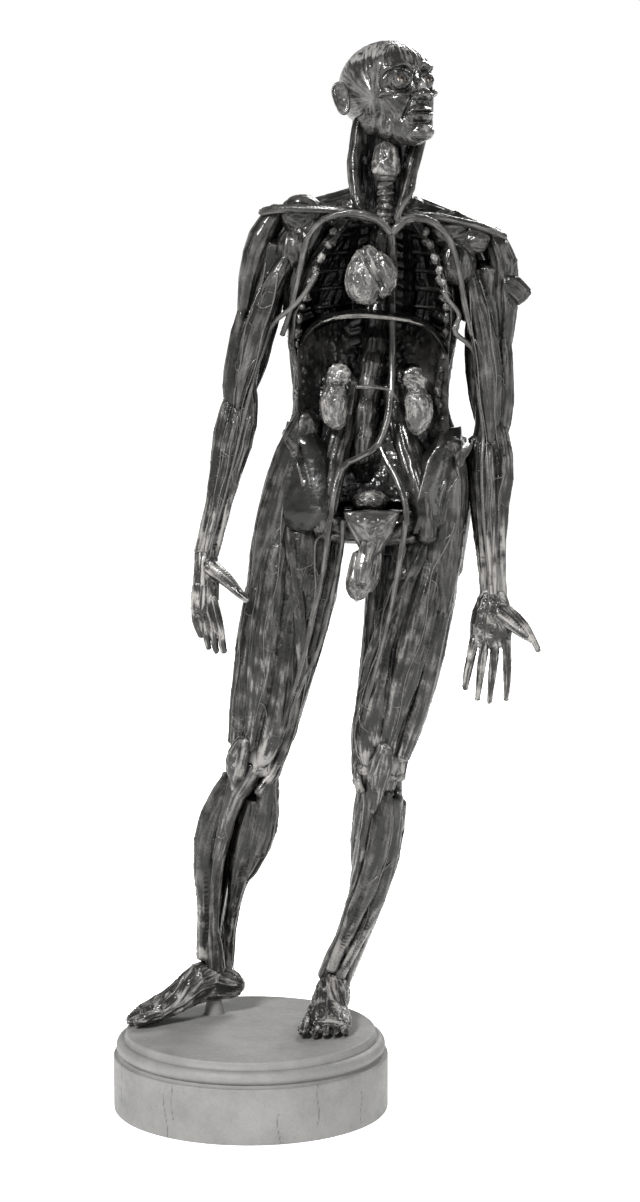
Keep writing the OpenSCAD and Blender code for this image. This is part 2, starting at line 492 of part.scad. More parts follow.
module thigh_vessels() {
    color("silver") {
        vessel([[54, -30, 352, 2.3], [52, -31, 338, 2.2], [49, -29, 316, 2], [42, -27, 284, 1.9], [34, -25, 252, 1.8],
                [28, -18, 230, 1.6]], 12);
        vessel([[103, -30, 350, 2.3], [101, -30, 334, 2.2], [97, -29, 308, 2], [91, -26, 280, 1.9], [84, -20, 250, 1.8],
                [78, -12, 226, 1.6]], 12);
        vessel([[62, -30, 350, 2], [61, -27, 330, 1.7], [55, -26, 300, 1.6], [46, -24, 264, 1.5], [33, -22, 236, 1.4],
                [25, -16, 208, 1.3]], 12);
    }
}

// ---- Neck, shoulders and head ----
module windpipe() {
    color("silver") {
        bar([89, -6, 544], [90, -10, 574], k * 10.5);
        spindle([[90, -10, 570, 6, 6], [90, -12, 578, 8, 7], [90, -11, 586, 7, 6], [90, -8, 592, 6, 6]], front);
    }
}
module neck_muscles() {
    color("dimgray") {
        spindle([[92, 15, 612, 17, 14], [88, 16, 594, 17.5, 14], [85, 17, 574, 18, 13], [85, 20, 558, 21, 13],
                 [85, 24, 546, 24, 12]], front);
        spindle([[73, 8, 610, 5, 6], [71, 2, 596, 5.4, 6], [69, -6, 578, 5, 5.4], [71, -15, 558, 4, 4.4],
                 [75, -18, 551, 3.4, 3.6]], front);
        spindle([[113, 8, 604, 5, 6], [110, 1, 590, 5, 5.4], [105, -7, 572, 4.4, 5], [100, -16, 555, 3.6, 4],
                 [97, -18, 549, 3.2, 3.4]], front);
    }
}
module shoulder_bones() {
    color("gainsboro") {
        spindle([[78, -16, 548, 4, 4], [60, -15, 552, 3.2, 3], [38, -8, 553, 3, 3], [20, 0, 553, 3.4, 3],
                 [9, 8, 550, 4.5, 3]], up, 8, 10);
        spindle([[98, -16, 546, 4, 4], [116, -15, 549, 3.2, 3], [138, -8, 545, 3, 3], [156, 0, 540, 3.4, 3],
                 [168, 8, 534, 4.5, 3]], up, 8, 10);
        spindle([[30, 40, 546, 5, 3], [38, 46, 534, 17, 3.4], [44, 51, 510, 14, 3.4], [46, 50, 484, 7, 3]], front);
        spindle([[140, 40, 540, 5, 3], [132, 46, 530, 17, 3.4], [126, 51, 506, 14, 3.4], [122, 50, 480, 7, 3]], front);
    }
}
module shoulder_muscles() {
    color("dimgray") {
        spindle([[80, 20, 562, 8, 8], [60, 20, 556, 9, 8], [38, 17, 552, 8, 6], [14, 13, 549, 6, 4]], up);
        spindle([[94, 20, 560, 8, 8], [114, 20, 552, 9, 8], [136, 17, 545, 8, 6], [160, 13, 536, 6, 4]], up);
        spindle([[46, 8, 546, 9, 10], [36, 12, 528, 11, 14], [30, 15, 506, 9, 14], [27, 18, 484, 5, 10]], front);
        spindle([[126, 8, 542, 9, 10], [138, 12, 524, 11, 14], [143, 15, 502, 9, 14], [144, 18, 480, 5, 10]], front);
        spindle([[60, 40, 548, 16, 6], [50, 50, 528, 18, 6], [54, 54, 500, 16, 5], [68, 54, 462, 8, 5]], front);
        spindle([[114, 40, 544, 16, 6], [124, 50, 524, 18, 6], [118, 54, 496, 16, 5], [98, 54, 458, 8, 5]], front);
    }
}

// The head's own directions: the way it looks, its left, its crown
head_look = [sin(head_turn) * cos(chin_lift), -cos(head_turn) * cos(chin_lift), sin(chin_lift)];
head_left = [cos(head_turn), sin(head_turn), 0];
head_crown = cross(head_left, -head_look);
// Head stations [to its left, forwards, upwards, half width, half depth]
function on_head(st) =
    [for (s = st) let (p = head_at + head_left * s[0] + head_look * s[1] + head_crown * s[2])
        [p[0], p[1], p[2], s[3], s[4]]];
module head() {
    color("gray") {
        spindle(on_head([[0, -7, -20, 17, 18], [0, -5, -8, 24, 28], [0, -4, 8, 25.5, 32], [0, -5, 20, 22, 28],
                         [0, -6, 29, 12, 15]]), head_look, 16, 12);
        spindle(on_head([[0, 12, 10, 16, 12], [0, 14, -4, 18, 13], [0, 15, -16, 16.5, 12.5], [0, 18, -27, 12, 10],
                         [0, 20, -34, 7, 7]]), head_look, 14, 10);
        spindle(on_head([[0, 26, 3, 2.4, 3], [0, 29, -4, 3, 3.4], [0, 30, -9, 4.4, 3.6]]), head_look, 8, 5);
    }
}
module ears() {
    color("gray") for (side = [-1, 1])
        spindle(on_head([[side * 23, -7, -12, 2.6, 3.4], [side * 26, -7, -4, 3, 5], [side * 27.5, -8, 4, 3.2, 7],
                         [side * 27, -9, 8, 2.4, 4]]), head_look, 8, 6);
}
eye_d = 9.5;
module eyes() {
    color("white") for (side = [-1, 1])
        translate(world(head_at + head_left * side * 9.5 + head_look * 21 + head_crown * 2)) sphere(d = k * eye_d, $fn = 32);
}

// ---- Arms ----
deltoid = [
    [[-0.2, 2, 0, 6, 8], [-0.05, 8, 1, 9.5, 12], [0.15, 10, 1, 9, 12], [0.4, 9, 1, 6, 8], [0.58, 7, 1, 3, 4]],
    [[-0.14, -2, -8, 7, 6], [0.05, 2, -11, 9, 7], [0.25, 5, -9, 7, 6], [0.45, 7, -4, 4, 4]]];
upper_arm = [
    [[0, 0, 0, 10, 10], [0.15, 0, 0, 9, 9], [0.8, 0, 0, 9, 8], [0.97, 0, 0, 11, 6.5], [1.04, 0, 0, 9, 6]],
    [[-0.12, -17, 6, 3, 3], [0.1, -11, 9, 6, 6], [0.35, -5, 9, 8, 8], [0.65, -1, 8, 8.5, 8], [0.9, 0, 7, 5, 5],
     [1.02, 0, 6, 3, 3]],
    [[0.38, 9, 4, 4, 4], [0.58, 9, 3, 6, 7], [0.85, 8, 3, 6, 6], [1.02, 4, 4, 3.5, 3.5]],
    [[0.0, 2, -8, 5, 5], [0.3, 6, -9, 8, 8], [0.6, 5, -9, 8.5, 8], [0.85, 2, -10, 5, 5], [1.0, 0, -9, 3.5, 3]],
    [[0.1, -6, -8, 4, 4], [0.4, -7, -8, 7, 7], [0.7, -6, -8, 6, 6], [0.95, -3, -9, 3, 3]]];
forearm = [
    [[0, 0, 0, 9, 6], [0.5, 0, 0, 6.5, 5], [0.97, 0, 0, 7, 4.5], [1.04, 0, 0, 6, 4]],
    [[-0.25, 2, 4, 4, 4], [0.0, 7, 5, 6, 6], [0.2, 8, 5, 6, 6], [0.45, 6, 4, 4.5, 4.5], [0.75, 6, 2, 2.6, 2.6],
     [1.0, 6, 1, 2.2, 2]],
    [[-0.04, -7, 2, 5, 5], [0.15, -8, 2, 6, 7], [0.4, -7, 1, 5, 6.5], [0.7, -5, 0, 4, 4.5], [1.0, -6, 0, 2.4, 2.6]],
    [[0.0, -1, 6, 5, 4], [0.2, -1, 7, 6, 5.5], [0.5, -1, 6, 5, 4.5], [0.75, -1, 4, 4, 3.2], [1.0, -1, 3, 4, 2.4]],
    [[0.0, 1, -6, 5, 4], [0.2, 0, -7, 6, 6], [0.5, 0, -6, 5.5, 5], [0.8, 0, -4, 4, 3], [1.0, 0, -3, 4, 2.4]]];
module right_deltoid() { color("dimgray") spindles(right_arm, deltoid); }
module left_deltoid() {
    color("dimgray") {
        spindles(left_arm, deltoid);
        // The cut end of the deltoid stands out as a flap
        spindle([[168, 2, 504, 4, 6], [174, 2, 502, 4.4, 7.5], [182, 2, 494, 3.6, 7]], [0.4, 0, 1], 8, 4);
    }
}
module right_upper_arm() { color("dimgray") spindles(right_arm, upper_arm); }
module left_upper_arm() { color("dimgray") spindles(left_arm, upper_arm); }
module right_forearm() { color("dimgray") spindles(right_lower_arm, forearm); }
module left_forearm() { color("dimgray") spindles(left_lower_arm, forearm); }

finger_r = 2.9;
// A hand: palm stations, then the fingers as [root, middle, tip], the thumb last
module hand(palm, fingers) {
    color("gray") {
        spindle(palm, front, 10, 6);
        for (f = fingers)
            spindle([[f[0][0], f[0][1], f[0][2], finger_r, finger_r], [f[1][0], f[1][1], f[1][2], finger_r * 0.9, finger_r * 0.9],
                     [f[2][0], f[2][1], f[2][2], finger_r * 0.62, finger_r * 0.62]], front, 8, 6);
    }
}
module right_hand() {
    hand([[-29, 4, 326, 7.5, 5], [-29, 1, 316, 8, 5.5], [-29, -2, 303, 9, 5], [-30, -4, 291, 9.4, 4], [-30, -5, 286, 8, 3]],
         [[[-24, -5, 294], [-19, -12, 275], [-17, -12, 260]],
          [[-28, -4, 292], [-24, -11, 273], [-22, -9, 260]],
          [[-32, -2, 292], [-29, -8, 274], [-27, -7, 262]],
          [[-36, 0, 293], [-35, -5, 280], [-32, -5, 270]],
          [[-25, 0, 318], [-14, -11, 306], [-1, -20, 296]]]);
}
module left_hand() {
    hand([[163, -2, 299, 8, 5], [162, -4, 290, 12, 6], [161, -5, 278, 14, 5.5], [161, -5, 268, 13.5, 4.4], [161, -5, 263, 11, 3]],
         [[[150, -5, 268], [146, -8, 249], [144, -8, 235]],
          [[157, -6, 267], [154, -9, 245], [152, -10, 228]],
          [[164, -6, 267], [162, -9, 244], [160, -10, 226]],
          [[171, -6, 268], [172, -9, 246], [171, -10, 228]],
          [[170, -5, 290], [183, -10, 278], [192, -15, 262]]]);
}

wooden_base();
right_leg_rod();
left_leg_rod();
trunk_rod();
rod_nuts();
rod_washers();
heel_prop();
right_foot();
left_foot();
right_shin_bones();
left_shin_bones();
right_shin_muscles();
left_shin_muscles();
right_calf();
left_calf();
right_kneecap();
left_kneecap();
right_thigh_core();
left_thigh_core();
right_thigh_front();
left_thigh_front();
right_thigh_inner();
left_thigh_inner();
right_thigh_back();
left_thigh_back();
right_hip_muscles();
left_hip_muscles();
pelvis();
pubic_plate();
genital_piece();
spine();
loin_muscles();
chest_wall();
belly_wall();
ribs();
diaphragm();
back_muscles();
heart();
right_kidney();
left_kidney();
bladder();
organ_pegs();
aorta();
shoulder_vessels();
thigh_vessels();
windpipe();
neck_muscles();
shoulder_bones();
shoulder_muscles();
head();
ears();
eyes();
right_deltoid();
left_deltoid();
right_upper_arm();
left_upper_arm();
right_forearm();
left_forearm();
right_hand();
left_hand();
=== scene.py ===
import math

import bmesh
import bpy
import numpy as np
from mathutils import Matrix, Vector
from mathutils.bvhtree import BVHTree


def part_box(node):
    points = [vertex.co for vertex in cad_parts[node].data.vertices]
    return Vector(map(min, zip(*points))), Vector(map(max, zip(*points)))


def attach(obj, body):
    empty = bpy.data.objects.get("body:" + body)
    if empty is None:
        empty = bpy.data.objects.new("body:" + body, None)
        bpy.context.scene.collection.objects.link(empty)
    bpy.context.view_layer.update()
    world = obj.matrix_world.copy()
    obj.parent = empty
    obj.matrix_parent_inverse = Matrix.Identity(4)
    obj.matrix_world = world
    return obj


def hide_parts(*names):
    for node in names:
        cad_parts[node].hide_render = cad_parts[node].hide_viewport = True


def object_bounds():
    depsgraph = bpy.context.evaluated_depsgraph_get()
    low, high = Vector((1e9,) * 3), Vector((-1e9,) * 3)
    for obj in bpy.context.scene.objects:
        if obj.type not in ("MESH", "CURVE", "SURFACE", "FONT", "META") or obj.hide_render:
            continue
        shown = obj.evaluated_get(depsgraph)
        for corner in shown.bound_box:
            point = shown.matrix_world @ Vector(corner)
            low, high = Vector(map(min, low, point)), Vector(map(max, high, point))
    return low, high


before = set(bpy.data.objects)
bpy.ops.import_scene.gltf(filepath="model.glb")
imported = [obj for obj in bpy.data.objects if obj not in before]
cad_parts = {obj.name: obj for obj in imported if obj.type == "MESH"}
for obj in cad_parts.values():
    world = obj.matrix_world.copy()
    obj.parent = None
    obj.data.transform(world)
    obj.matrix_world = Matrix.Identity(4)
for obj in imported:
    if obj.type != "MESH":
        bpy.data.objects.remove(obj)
cad_lo, cad_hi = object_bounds()

# ---- Camera, floor and light ----
# A long lens a little above the figure's middle, looking slightly down, on a pale sweep.
# The light is soft and broad: a large key from the upper left, a weaker fill and a rim.
camera = bpy.data.objects.new("camera", bpy.data.cameras.new("camera"))
bpy.context.scene.collection.objects.link(camera)
camera.data.sensor_width = 36
camera.data.lens = 99.8
camera.location = (0.047, -2.2, 0.662)
camera.rotation_euler = (math.radians(90 - 8.15), 0, 0)
bpy.context.scene.camera = camera


def material(name, base=(0.8, 0.8, 0.8), rough=0.5, **sockets):
    """A Principled material with constant values on its own sockets."""
    made = bpy.data.materials.new(name)
    made.use_nodes = True
    shader = made.node_tree.nodes["Principled BSDF"]
    shader.inputs["Base Color"].default_value = (*base, 1)
    shader.inputs["Roughness"].default_value = rough
    for socket, value in sockets.items():
        shader.inputs[socket.replace("_", " ")].default_value = value
    return made


def node(tree, kind, **values):
    """A shader node; names of inputs set their values, other names set its properties."""
    made = tree.nodes.new(kind)
    for key, value in values.items():
        if key in made.inputs.keys():
            made.inputs[key].default_value = value
        else:
            setattr(made, key, value)
    return made


def ramp(tree, source, stops):
    """A colour ramp of (place, colour) stops fed by a value."""
    made = tree.nodes.new("ShaderNodeValToRGB")
    elements = made.color_ramp.elements
    while len(elements) < len(stops):
        elements.new(0.5)
    for element, (place, colour) in zip(elements, stops):
        element.position = place
        element.color = (*colour, 1)
    tree.links.new(source, made.inputs["Fac"])
    return made.outputs["Color"]


def greys(*stops):
    """Grey stops for a ramp, from (place, tone) pairs."""
    return [(place, (tone,) * 3) for place, tone in stops]


floor_mesh = bpy.data.meshes.new("floor")
reach = 12
floor_mesh.from_pydata([(-reach, -reach, 0), (reach, -reach, 0), (reach, reach, 0), (-reach, reach, 0)],
                       [], [(0, 1, 2, 3)])
floor = bpy.data.objects.new("floor", floor_mesh)
bpy.context.scene.collection.objects.link(floor)
floor.location.z = cad_lo.z - 0.0003
floor.data.materials.append(material("pale_floor", (0.7, 0.7, 0.695), 0.85, Emission_Color=(1, 1, 1, 1),
                                     Emission_Strength=0.95, Specular_IOR_Level=0.0))

world = bpy.data.worlds.new("studio")
world.use_nodes = True
sky = world.node_tree
direction = node(sky, "ShaderNodeTexCoord").outputs["Generated"]
height_of = node(sky, "ShaderNodeSeparateXYZ")
sky.links.new(direction, height_of.inputs[0])
sky.links.new(ramp(sky, height_of.outputs["Z"], greys((0.0, 1), (0.12, 1), (0.3, 0.3), (1.0, 0.22))),
              sky.nodes["Background"].inputs["Color"])
bpy.context.scene.world = world
bpy.context.scene.view_settings.view_transform = "Standard"
bpy.context.scene.view_settings.gamma = 0.87


def area_light(name, place, target, size, power):
    """A square soft box that looks at a target."""
    light = bpy.data.lights.new(name, "AREA")
    light.size = size
    light.energy = power
    holder = bpy.data.objects.new(name, light)
    bpy.context.scene.collection.objects.link(holder)
    holder.location = place
    holder.rotation_euler = (Vector(target) - Vector(place)).to_track_quat("-Z", "Y").to_euler()


middle = (0.06, 0, 0.4)
area_light("key", (-1.0, -1.6, 1.9), middle, 0.55, 92)
area_light("fill", (1.7, -1.2, 0.9), middle, 1.0, 14)
area_light("rim", (0.7, 1.6, 1.6), middle, 0.9, 34)


# ---- Turned wooden base ----
# A turned drum of jointed wood: plain lower drum, narrow groove, round bead, small step, flat top.
# Painted matte grey; the paint has hairline cracks down the drum and fine dust and rub marks.
def new_object(name, vertices, faces, body, finish, cad_nodes=()):
    """A smooth-shaded mesh from vertices in millimetres, riding on a body."""
    mesh = bpy.data.meshes.new(name)
    mesh.from_pydata([tuple(v) for v in np.asarray(vertices) * 0.001], [], [tuple(f) for f in faces])
    mesh.polygons.foreach_set("use_smooth", [True] * len(mesh.polygons))
    mesh.update()
    made = bpy.data.objects.new(name, mesh)
    bpy.context.scene.collection.objects.link(made)
    return dressed(made, body, finish, cad_nodes)


def dressed(made, body, finish, cad_nodes=()):
    """Gives a piece its finish, its body and the CAD nodes that it stands for."""
    made.data.materials.clear()
    made.data.materials.append(finish)
    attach(made, body)
    if cad_nodes:
        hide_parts(*cad_nodes)
    return made


def store(mesh, name, values):
    """One number for each vertex, for the material to read."""
    mesh.attributes.new(name, "FLOAT", "POINT").data.foreach_set("value", np.asarray(values, np.float32))


def box_mm(name):
    """The two corners of a CAD node's box in millimetres."""
    return np.array(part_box(name)) * 1000


def lathe(profile, turns):
    """Rings of a (radius, height) profile about the vertical, closed by its end points on the axis."""
    angles = np.arange(turns) * 2 * math.pi / turns
    rings = [np.stack([r * np.cos(angles), r * np.sin(angles), np.full(turns, z)], 1) for r, z in profile]
    vertices = np.concatenate(rings)
    faces = []
    for i in range(len(profile) - 1):
        a = i * turns + np.arange(turns)
        b = i * turns + (np.arange(turns) + 1) % turns
        faces += list(zip(a, b, b + turns, a + turns))
    faces.append(tuple(range(turns - 1, -1, -1)))
    faces.append(tuple((len(profile) - 1) * turns + np.arange(turns)))
    return vertices, faces


base_lo, base_hi = box_mm("wooden_base")
base_r = (base_hi[0] - base_lo[0]) / 2
base_h = base_hi[2]
drum_top = base_h * 0.703
bead_r = (base_h - drum_top) * 0.3
disc_r = base_r - 9


def arc(centre, radius, start, stop, steps):
    """Points of a round stretch of a profile, between two angles in degrees."""
    for a in np.radians(np.linspace(start, stop, steps)):
        yield centre[0] + radius * math.cos(a), centre[1] + radius * math.sin(a)


base_line = [(base_r * f, 0) for f in np.linspace(0.1, 0.96, 24)]
base_line += list(arc((base_r - 1.5, 1.5), 1.5, -80, 0, 4))
base_line += [(base_r, z) for z in np.linspace(2.5, drum_top - 1.6, 44)]
base_line += list(arc((base_r - 1.3, drum_top - 1.3), 1.3, 15, 90, 6))
base_line += [(base_r - 2.3, drum_top + 0.2), (base_r - 2.7, drum_top + 0.9)]
base_line += list(arc((base_r - 2.4 - bead_r * 0.9, drum_top + 1 + bead_r), bead_r, -62, 100, 20))
base_line += [(disc_r + 1.9, drum_top + 2.1 * bead_r + 0.9), (disc_r + 1.2, drum_top + 2.2 * bead_r + 0.8)]
base_line += list(arc((disc_r - 1.0, base_h - 1.6), 1.6, 0, 88, 7))
base_line += [(disc_r * f, base_h) for f in np.linspace(0.985, 0.02, 46)]
base_turns = 760
base_points, base_faces = lathe(base_line, base_turns)
base_around = np.arctan2(base_points[:, 0], -base_points[:, 1])          # 0 at the front, towards +X
base_height = base_points[:, 2]
base_out = np.hypot(base_points[:, 0], base_points[:, 1])
chance = np.random.RandomState(5)
crack_depth = np.zeros(len(base_points))
for at, foot, head in [(-0.62, 0.0, 0.8), (-0.55, 0.35, 1.0), (0.22, 0.0, 0.55), (0.5, 0.25, 1.0), (0.93, 0.1, 0.7),
                       (-1.15, 0.3, 1.0), (1.7, 0.0, 0.9), (2.6, 0.1, 1.0), (-2.3, 0.0, 0.8)]:
    lean = chance.uniform(-0.04, 0.04)
    sway = chance.uniform(3, 7)
    line = at + lean * base_height / drum_top + 0.012 * np.sin(base_height / sway + at * 9)
    near = np.abs(base_around - line) * base_r
    reach_mask = (base_height > foot * drum_top) & (base_height < head * drum_top) & (base_out > base_r - 3)
    crack_depth = np.maximum(crack_depth, np.clip(1 - near / 0.42, 0, 1) * reach_mask)
base_points[:, :2] *= (1 - 0.35 * crack_depth / np.maximum(base_out, 1))[:, None]


def paint_group():
    """Old matte paint: broad stains, fine dust specks and a slightly uneven skin."""
    group = bpy.data.node_groups.new("old_paint", "ShaderNodeTree")
    face = group.interface
    face.new_socket("Colour", in_out="INPUT", socket_type="NodeSocketColor")
    face.new_socket("Stain", in_out="INPUT", socket_type="NodeSocketFloat").default_value = 0.3
    face.new_socket("Crack", in_out="INPUT", socket_type="NodeSocketFloat")
    face.new_socket("Colour", in_out="OUTPUT", socket_type="NodeSocketColor")
    face.new_socket("Roughness", in_out="OUTPUT", socket_type="NodeSocketFloat")
    face.new_socket("Height", in_out="OUTPUT", socket_type="NodeSocketFloat")
    start, end = node(group, "NodeGroupInput"), node(group, "NodeGroupOutput")
    where = node(group, "ShaderNodeTexCoord").outputs["Object"]
    link = group.links.new
    stains = node(group, "ShaderNodeTexNoise", Scale=34.0, Detail=6.0, Roughness=0.62)
    specks = node(group, "ShaderNodeTexNoise", Scale=900.0, Detail=3.0, Roughness=0.7)
    grain = node(group, "ShaderNodeTexNoise", Scale=260.0, Detail=4.0, Roughness=0.6)
    for texture in (stains, specks, grain):
        link(where, texture.inputs["Vector"])
    stained = ramp(group, stains.outputs["Fac"], greys((0.3, 0.72), (0.52, 1), (0.72, 1.2)))
    speckled = ramp(group, specks.outputs["Fac"], greys((0.32, 0.78), (0.45, 1), (0.66, 1), (0.74, 1.5)))
    first = node(group, "ShaderNodeMix", data_type="RGBA", blend_type="MULTIPLY")
    link(start.outputs["Stain"], first.inputs["Factor"])
    link(start.outputs["Colour"], first.inputs[6])
    link(stained, first.inputs[7])
    second = node(group, "ShaderNodeMix", data_type="RGBA", blend_type="MULTIPLY")
    second.inputs["Factor"].default_value = 0.75
    link(first.outputs[2], second.inputs[6])
    link(speckled, second.inputs[7])
    third = node(group, "ShaderNodeMix", data_type="RGBA", blend_type="MIX")
    third.inputs[7].default_value = (0.03, 0.03, 0.03, 1)
    link(start.outputs["Crack"], third.inputs["Factor"])
    link(second.outputs[2], third.inputs[6])
    link(third.outputs[2], end.inputs["Colour"])
    link(ramp(group, grain.outputs["Fac"], greys((0.3, 0.5), (0.7, 0.72))), end.inputs["Roughness"])
    link(grain.outputs["Fac"], end.inputs["Height"])
    return group


old_paint = paint_group()


def painted(name, colour, stain, bump):
    """Matte painted wood, darkened in the vertex attribute 'crack'."""
    made = material(name, colour, 0.6)
    tree = made.node_tree
    shader = tree.nodes["Principled BSDF"]
    coat = node(tree, "ShaderNodeGroup")
    coat.node_tree = old_paint
    coat.inputs["Colour"].default_value = (*colour, 1)
    coat.inputs["Stain"].default_value = stain
    crack = node(tree, "ShaderNodeAttribute", attribute_name="crack")
    tree.links.new(crack.outputs["Fac"], coat.inputs["Crack"])
    tree.links.new(coat.outputs["Colour"], shader.inputs["Base Color"])
    tree.links.new(coat.outputs["Roughness"], shader.inputs["Roughness"])
    skin = node(tree, "ShaderNodeBump", Strength=bump, Distance=0.0004)
    tree.links.new(coat.outputs["Height"], skin.inputs["Height"])
    tree.links.new(skin.outputs["Normal"], shader.inputs["Normal"])
    return made


base_paint = painted("grey_base_paint", (0.2, 0.198, 0.192), 0.7, 0.25)
base = new_object("turned_base", base_points, base_faces, "figure", base_paint, ["wooden_base"])
store(base.data, "crack", crack_depth * 0.75)


# ---- Armature, nuts, washers, pegs and heel prop ----
# Steel rods run from nuts under the base up through the legs and the spine; short steel pegs carry
# the organs. They are plain drawn steel; the prop under the raised heel is a turned wooden foot.
def steel(name, shade):
    """Drawn steel with faint lengthwise scratches."""
    made = material(name, (shade, shade, shade * 0.97), 0.35, Metallic=1.0)
    tree = made.node_tree
    shader = tree.nodes["Principled BSDF"]
    where = node(tree, "ShaderNodeTexCoord").outputs["Object"]
    stretch = node(tree, "ShaderNodeMapping")
    stretch.inputs["Scale"].default_value = (1, 1, 0.05)
    tree.links.new(where, stretch.inputs["Vector"])
    scratches = node(tree, "ShaderNodeTexNoise", Scale=1400.0, Detail=3.0)
    tree.links.new(stretch.outputs["Vector"], scratches.inputs["Vector"])
    for stops, socket in ((greys((0.3, 0.24), (0.7, 0.5)), "Roughness"),
                          (greys((0.3, shade * 0.7), (0.7, shade)), "Base Color")):
        tree.links.new(ramp(tree, scratches.outputs["Fac"], stops), shader.inputs[socket])
    return made


rod_finish = steel("drawn_steel", 0.5)
peg_finish = steel("peg_steel", 0.45)
for name in ("right_leg_rod", "left_leg_rod", "trunk_rod", "rod_nuts", "rod_washers", "organ_pegs", "heel_prop"):
    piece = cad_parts[name]
    finish = base_paint if name == "heel_prop" else peg_finish if name == "organ_pegs" else rod_finish
    piece.data.materials.clear()
    piece.data.materials.append(finish)


# ---- Thighs and hips ----
# Each leg is modelled plaster over the armature: front, inner, back and hip groups of muscle laid
# over a core. The fibres run along each muscle, and varnish makes them shine like wet flesh.
def neighbours(mesh):
    """The pairs of vertices that share an edge."""
    pairs = np.empty(len(mesh.edges) * 2, np.int64)
    mesh.edges.foreach_get("vertices", pairs)
    return pairs.reshape(-1, 2)


def spread(values, pairs, rounds, keep=0.5):
    """Values averaged with their neighbours, over and over."""
    flat = values.reshape(len(values), -1).astype(float)
    count = np.maximum(np.bincount(pairs.ravel(), minlength=len(flat)), 1)[:, None]
    for _ in range(rounds):
        total = np.stack([np.bincount(pairs[:, 0], column[pairs[:, 1]], len(flat))
                          + np.bincount(pairs[:, 1], column[pairs[:, 0]], len(flat)) for column in flat.T], 1)
        flat = keep * flat + (1 - keep) * total / count
    return flat.reshape(values.shape)


def relaxed(points, pairs, rounds):
    """Smoothed without shrinking."""
    for _ in range(rounds):
        points = spread(points, pairs, 1, 0.45)
        points = spread(points, pairs, 1, 1.53)
    return points


def normals_of(mesh, points):
    """Puts points in millimetres into a mesh, and gives its vertex normals there."""
    mesh.vertices.foreach_set("co", (points * 0.001).ravel())
    mesh.update()
    out = np.empty(len(points) * 3)
    mesh.vertex_normals.foreach_get("vector", out)
    return out.reshape(-1, 3)


def fibre_directions(normals, pairs, width=7, evenness=16):
    """The way the surface bends least, which runs along a muscle, a finger or a vessel."""
    bending = spread(normals[:, :, None] * normals[:, None, :], pairs, width)
    tangent = np.eye(3) - normals[:, :, None] * normals[:, None, :]
    across = np.linalg.eigh(tangent @ bending @ tangent)[1][:, :, 2]
    along = np.cross(normals, across)
    field = spread(along[:, :, None] * along[:, None, :], pairs, evenness)
    along = np.linalg.eigh(tangent @ field @ tangent)[1][:, :, 2]
    return along / np.maximum(np.linalg.norm(along, axis=1), 1e-9)[:, None]


skew = np.linalg.qr(np.random.RandomState(2).normal(size=(3, 3)))[0]           # keeps the lattice off the upright


def lattice_noise(points, cell, seed):
    """Smooth random values, from 0 to 1, on a repeating lattice."""
    across = 40
    lattice = np.random.RandomState(seed).rand(across, across, across).astype(np.float32)
    place = points @ skew / cell
    low = np.floor(place)
    part = place - low
    part = part * part * (3 - 2 * part)
    low = low.astype(int) % across
    high = (low + 1) % across
    total = 0
    for corner in range(8):
        pick = [(high if corner >> axis & 1 else low)[:, axis] for axis in range(3)]
        weight = 1
        for axis in range(3):
            weight = weight * (part[:, axis] if corner >> axis & 1 else 1 - part[:, axis])
        total = total + lattice[pick[0], pick[1], pick[2]] * weight
    return total


def streaks(points, along, cell, length, seed):
    """Noise drawn out along the fibres, with mean 0 and spread 1."""
    total = 0
    for t in np.arange(-length, length + cell / 2, cell * 0.83):
        total = total + lattice_noise(points + along * t, cell, seed) * (1 - abs(t) / (length * 1.2))
    return (total - total.mean()) / max(total.std(), 1e-9)


def cad_copy(names, extra=()):
    """Vertices and faces of CAD nodes, welded, with extra (vertices, faces) in millimetres joined on."""
    work = bmesh.new()
    for name in names:
        work.from_mesh(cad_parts[name].data)
    bmesh.ops.remove_doubles(work, verts=work.verts, dist=1e-6)
    for vertices, faces in extra:
        made = [work.verts.new(tuple(v)) for v in np.asarray(vertices) * 0.001]
        for face in faces:
            work.faces.new([made[i] for i in face])
    mesh = bpy.data.meshes.new("work")
    if not names:
        bmesh.ops.recalc_face_normals(work, faces=work.faces)
    work.to_mesh(mesh)
    work.free()
    return mesh


def remeshed(name, mesh, voxel):
    """An even net of small quads round closed solids."""
    made = bpy.data.objects.new(name, mesh)
    bpy.context.scene.collection.objects.link(made)
    change = made.modifiers.new("net", "REMESH")
    change.mode = "VOXEL"
    change.voxel_size = voxel * 0.001
    graph = bpy.context.evaluated_depsgraph_get()
    net = bpy.data.meshes.new_from_object(made.evaluated_get(graph))
    made.modifiers.clear()
    made.data = net
    net.name = name
    return made


def coordinates(mesh):
    """The vertices of a mesh in millimetres."""
    out = np.empty(len(mesh.vertices) * 3)
    mesh.vertices.foreach_get("co", out)
    return out.reshape(-1, 3) * 1000


def near(points, spots):
    """1 at the given (x, y, z, reach) spots, fading away from them."""
    total = np.zeros(len(points))
    for x, y, z, span in spots:
        total = np.maximum(total, np.exp(-(((points - (x, y, z)) ** 2).sum(1)) / span ** 2))
    return total


def unit_ball(rows, turns):
    """Points and faces of a closed ball of radius 1."""
    points = [(0, 0, -1)]
    for i in range(1, rows):
        a = -math.pi / 2 + math.pi * i / rows
        points += [(math.cos(a) * math.cos(b), math.cos(a) * math.sin(b), math.sin(a))
                   for b in np.arange(turns) * 2 * math.pi / turns]
    points.append((0, 0, 1))
    faces = [(0, 1 + (j + 1) % turns, 1 + j) for j in range(turns)]
    for i in range(rows - 2):
        for j in range(turns):
            a, b = 1 + i * turns + j, 1 + i * turns + (j + 1) % turns
            faces.append((a, b, b + turns, a + turns))
    last = len(points) - 1
    faces += [(last, last - turns + j, last - turns + (j + 1) % turns) for j in range(turns)]
    return np.array(points), faces


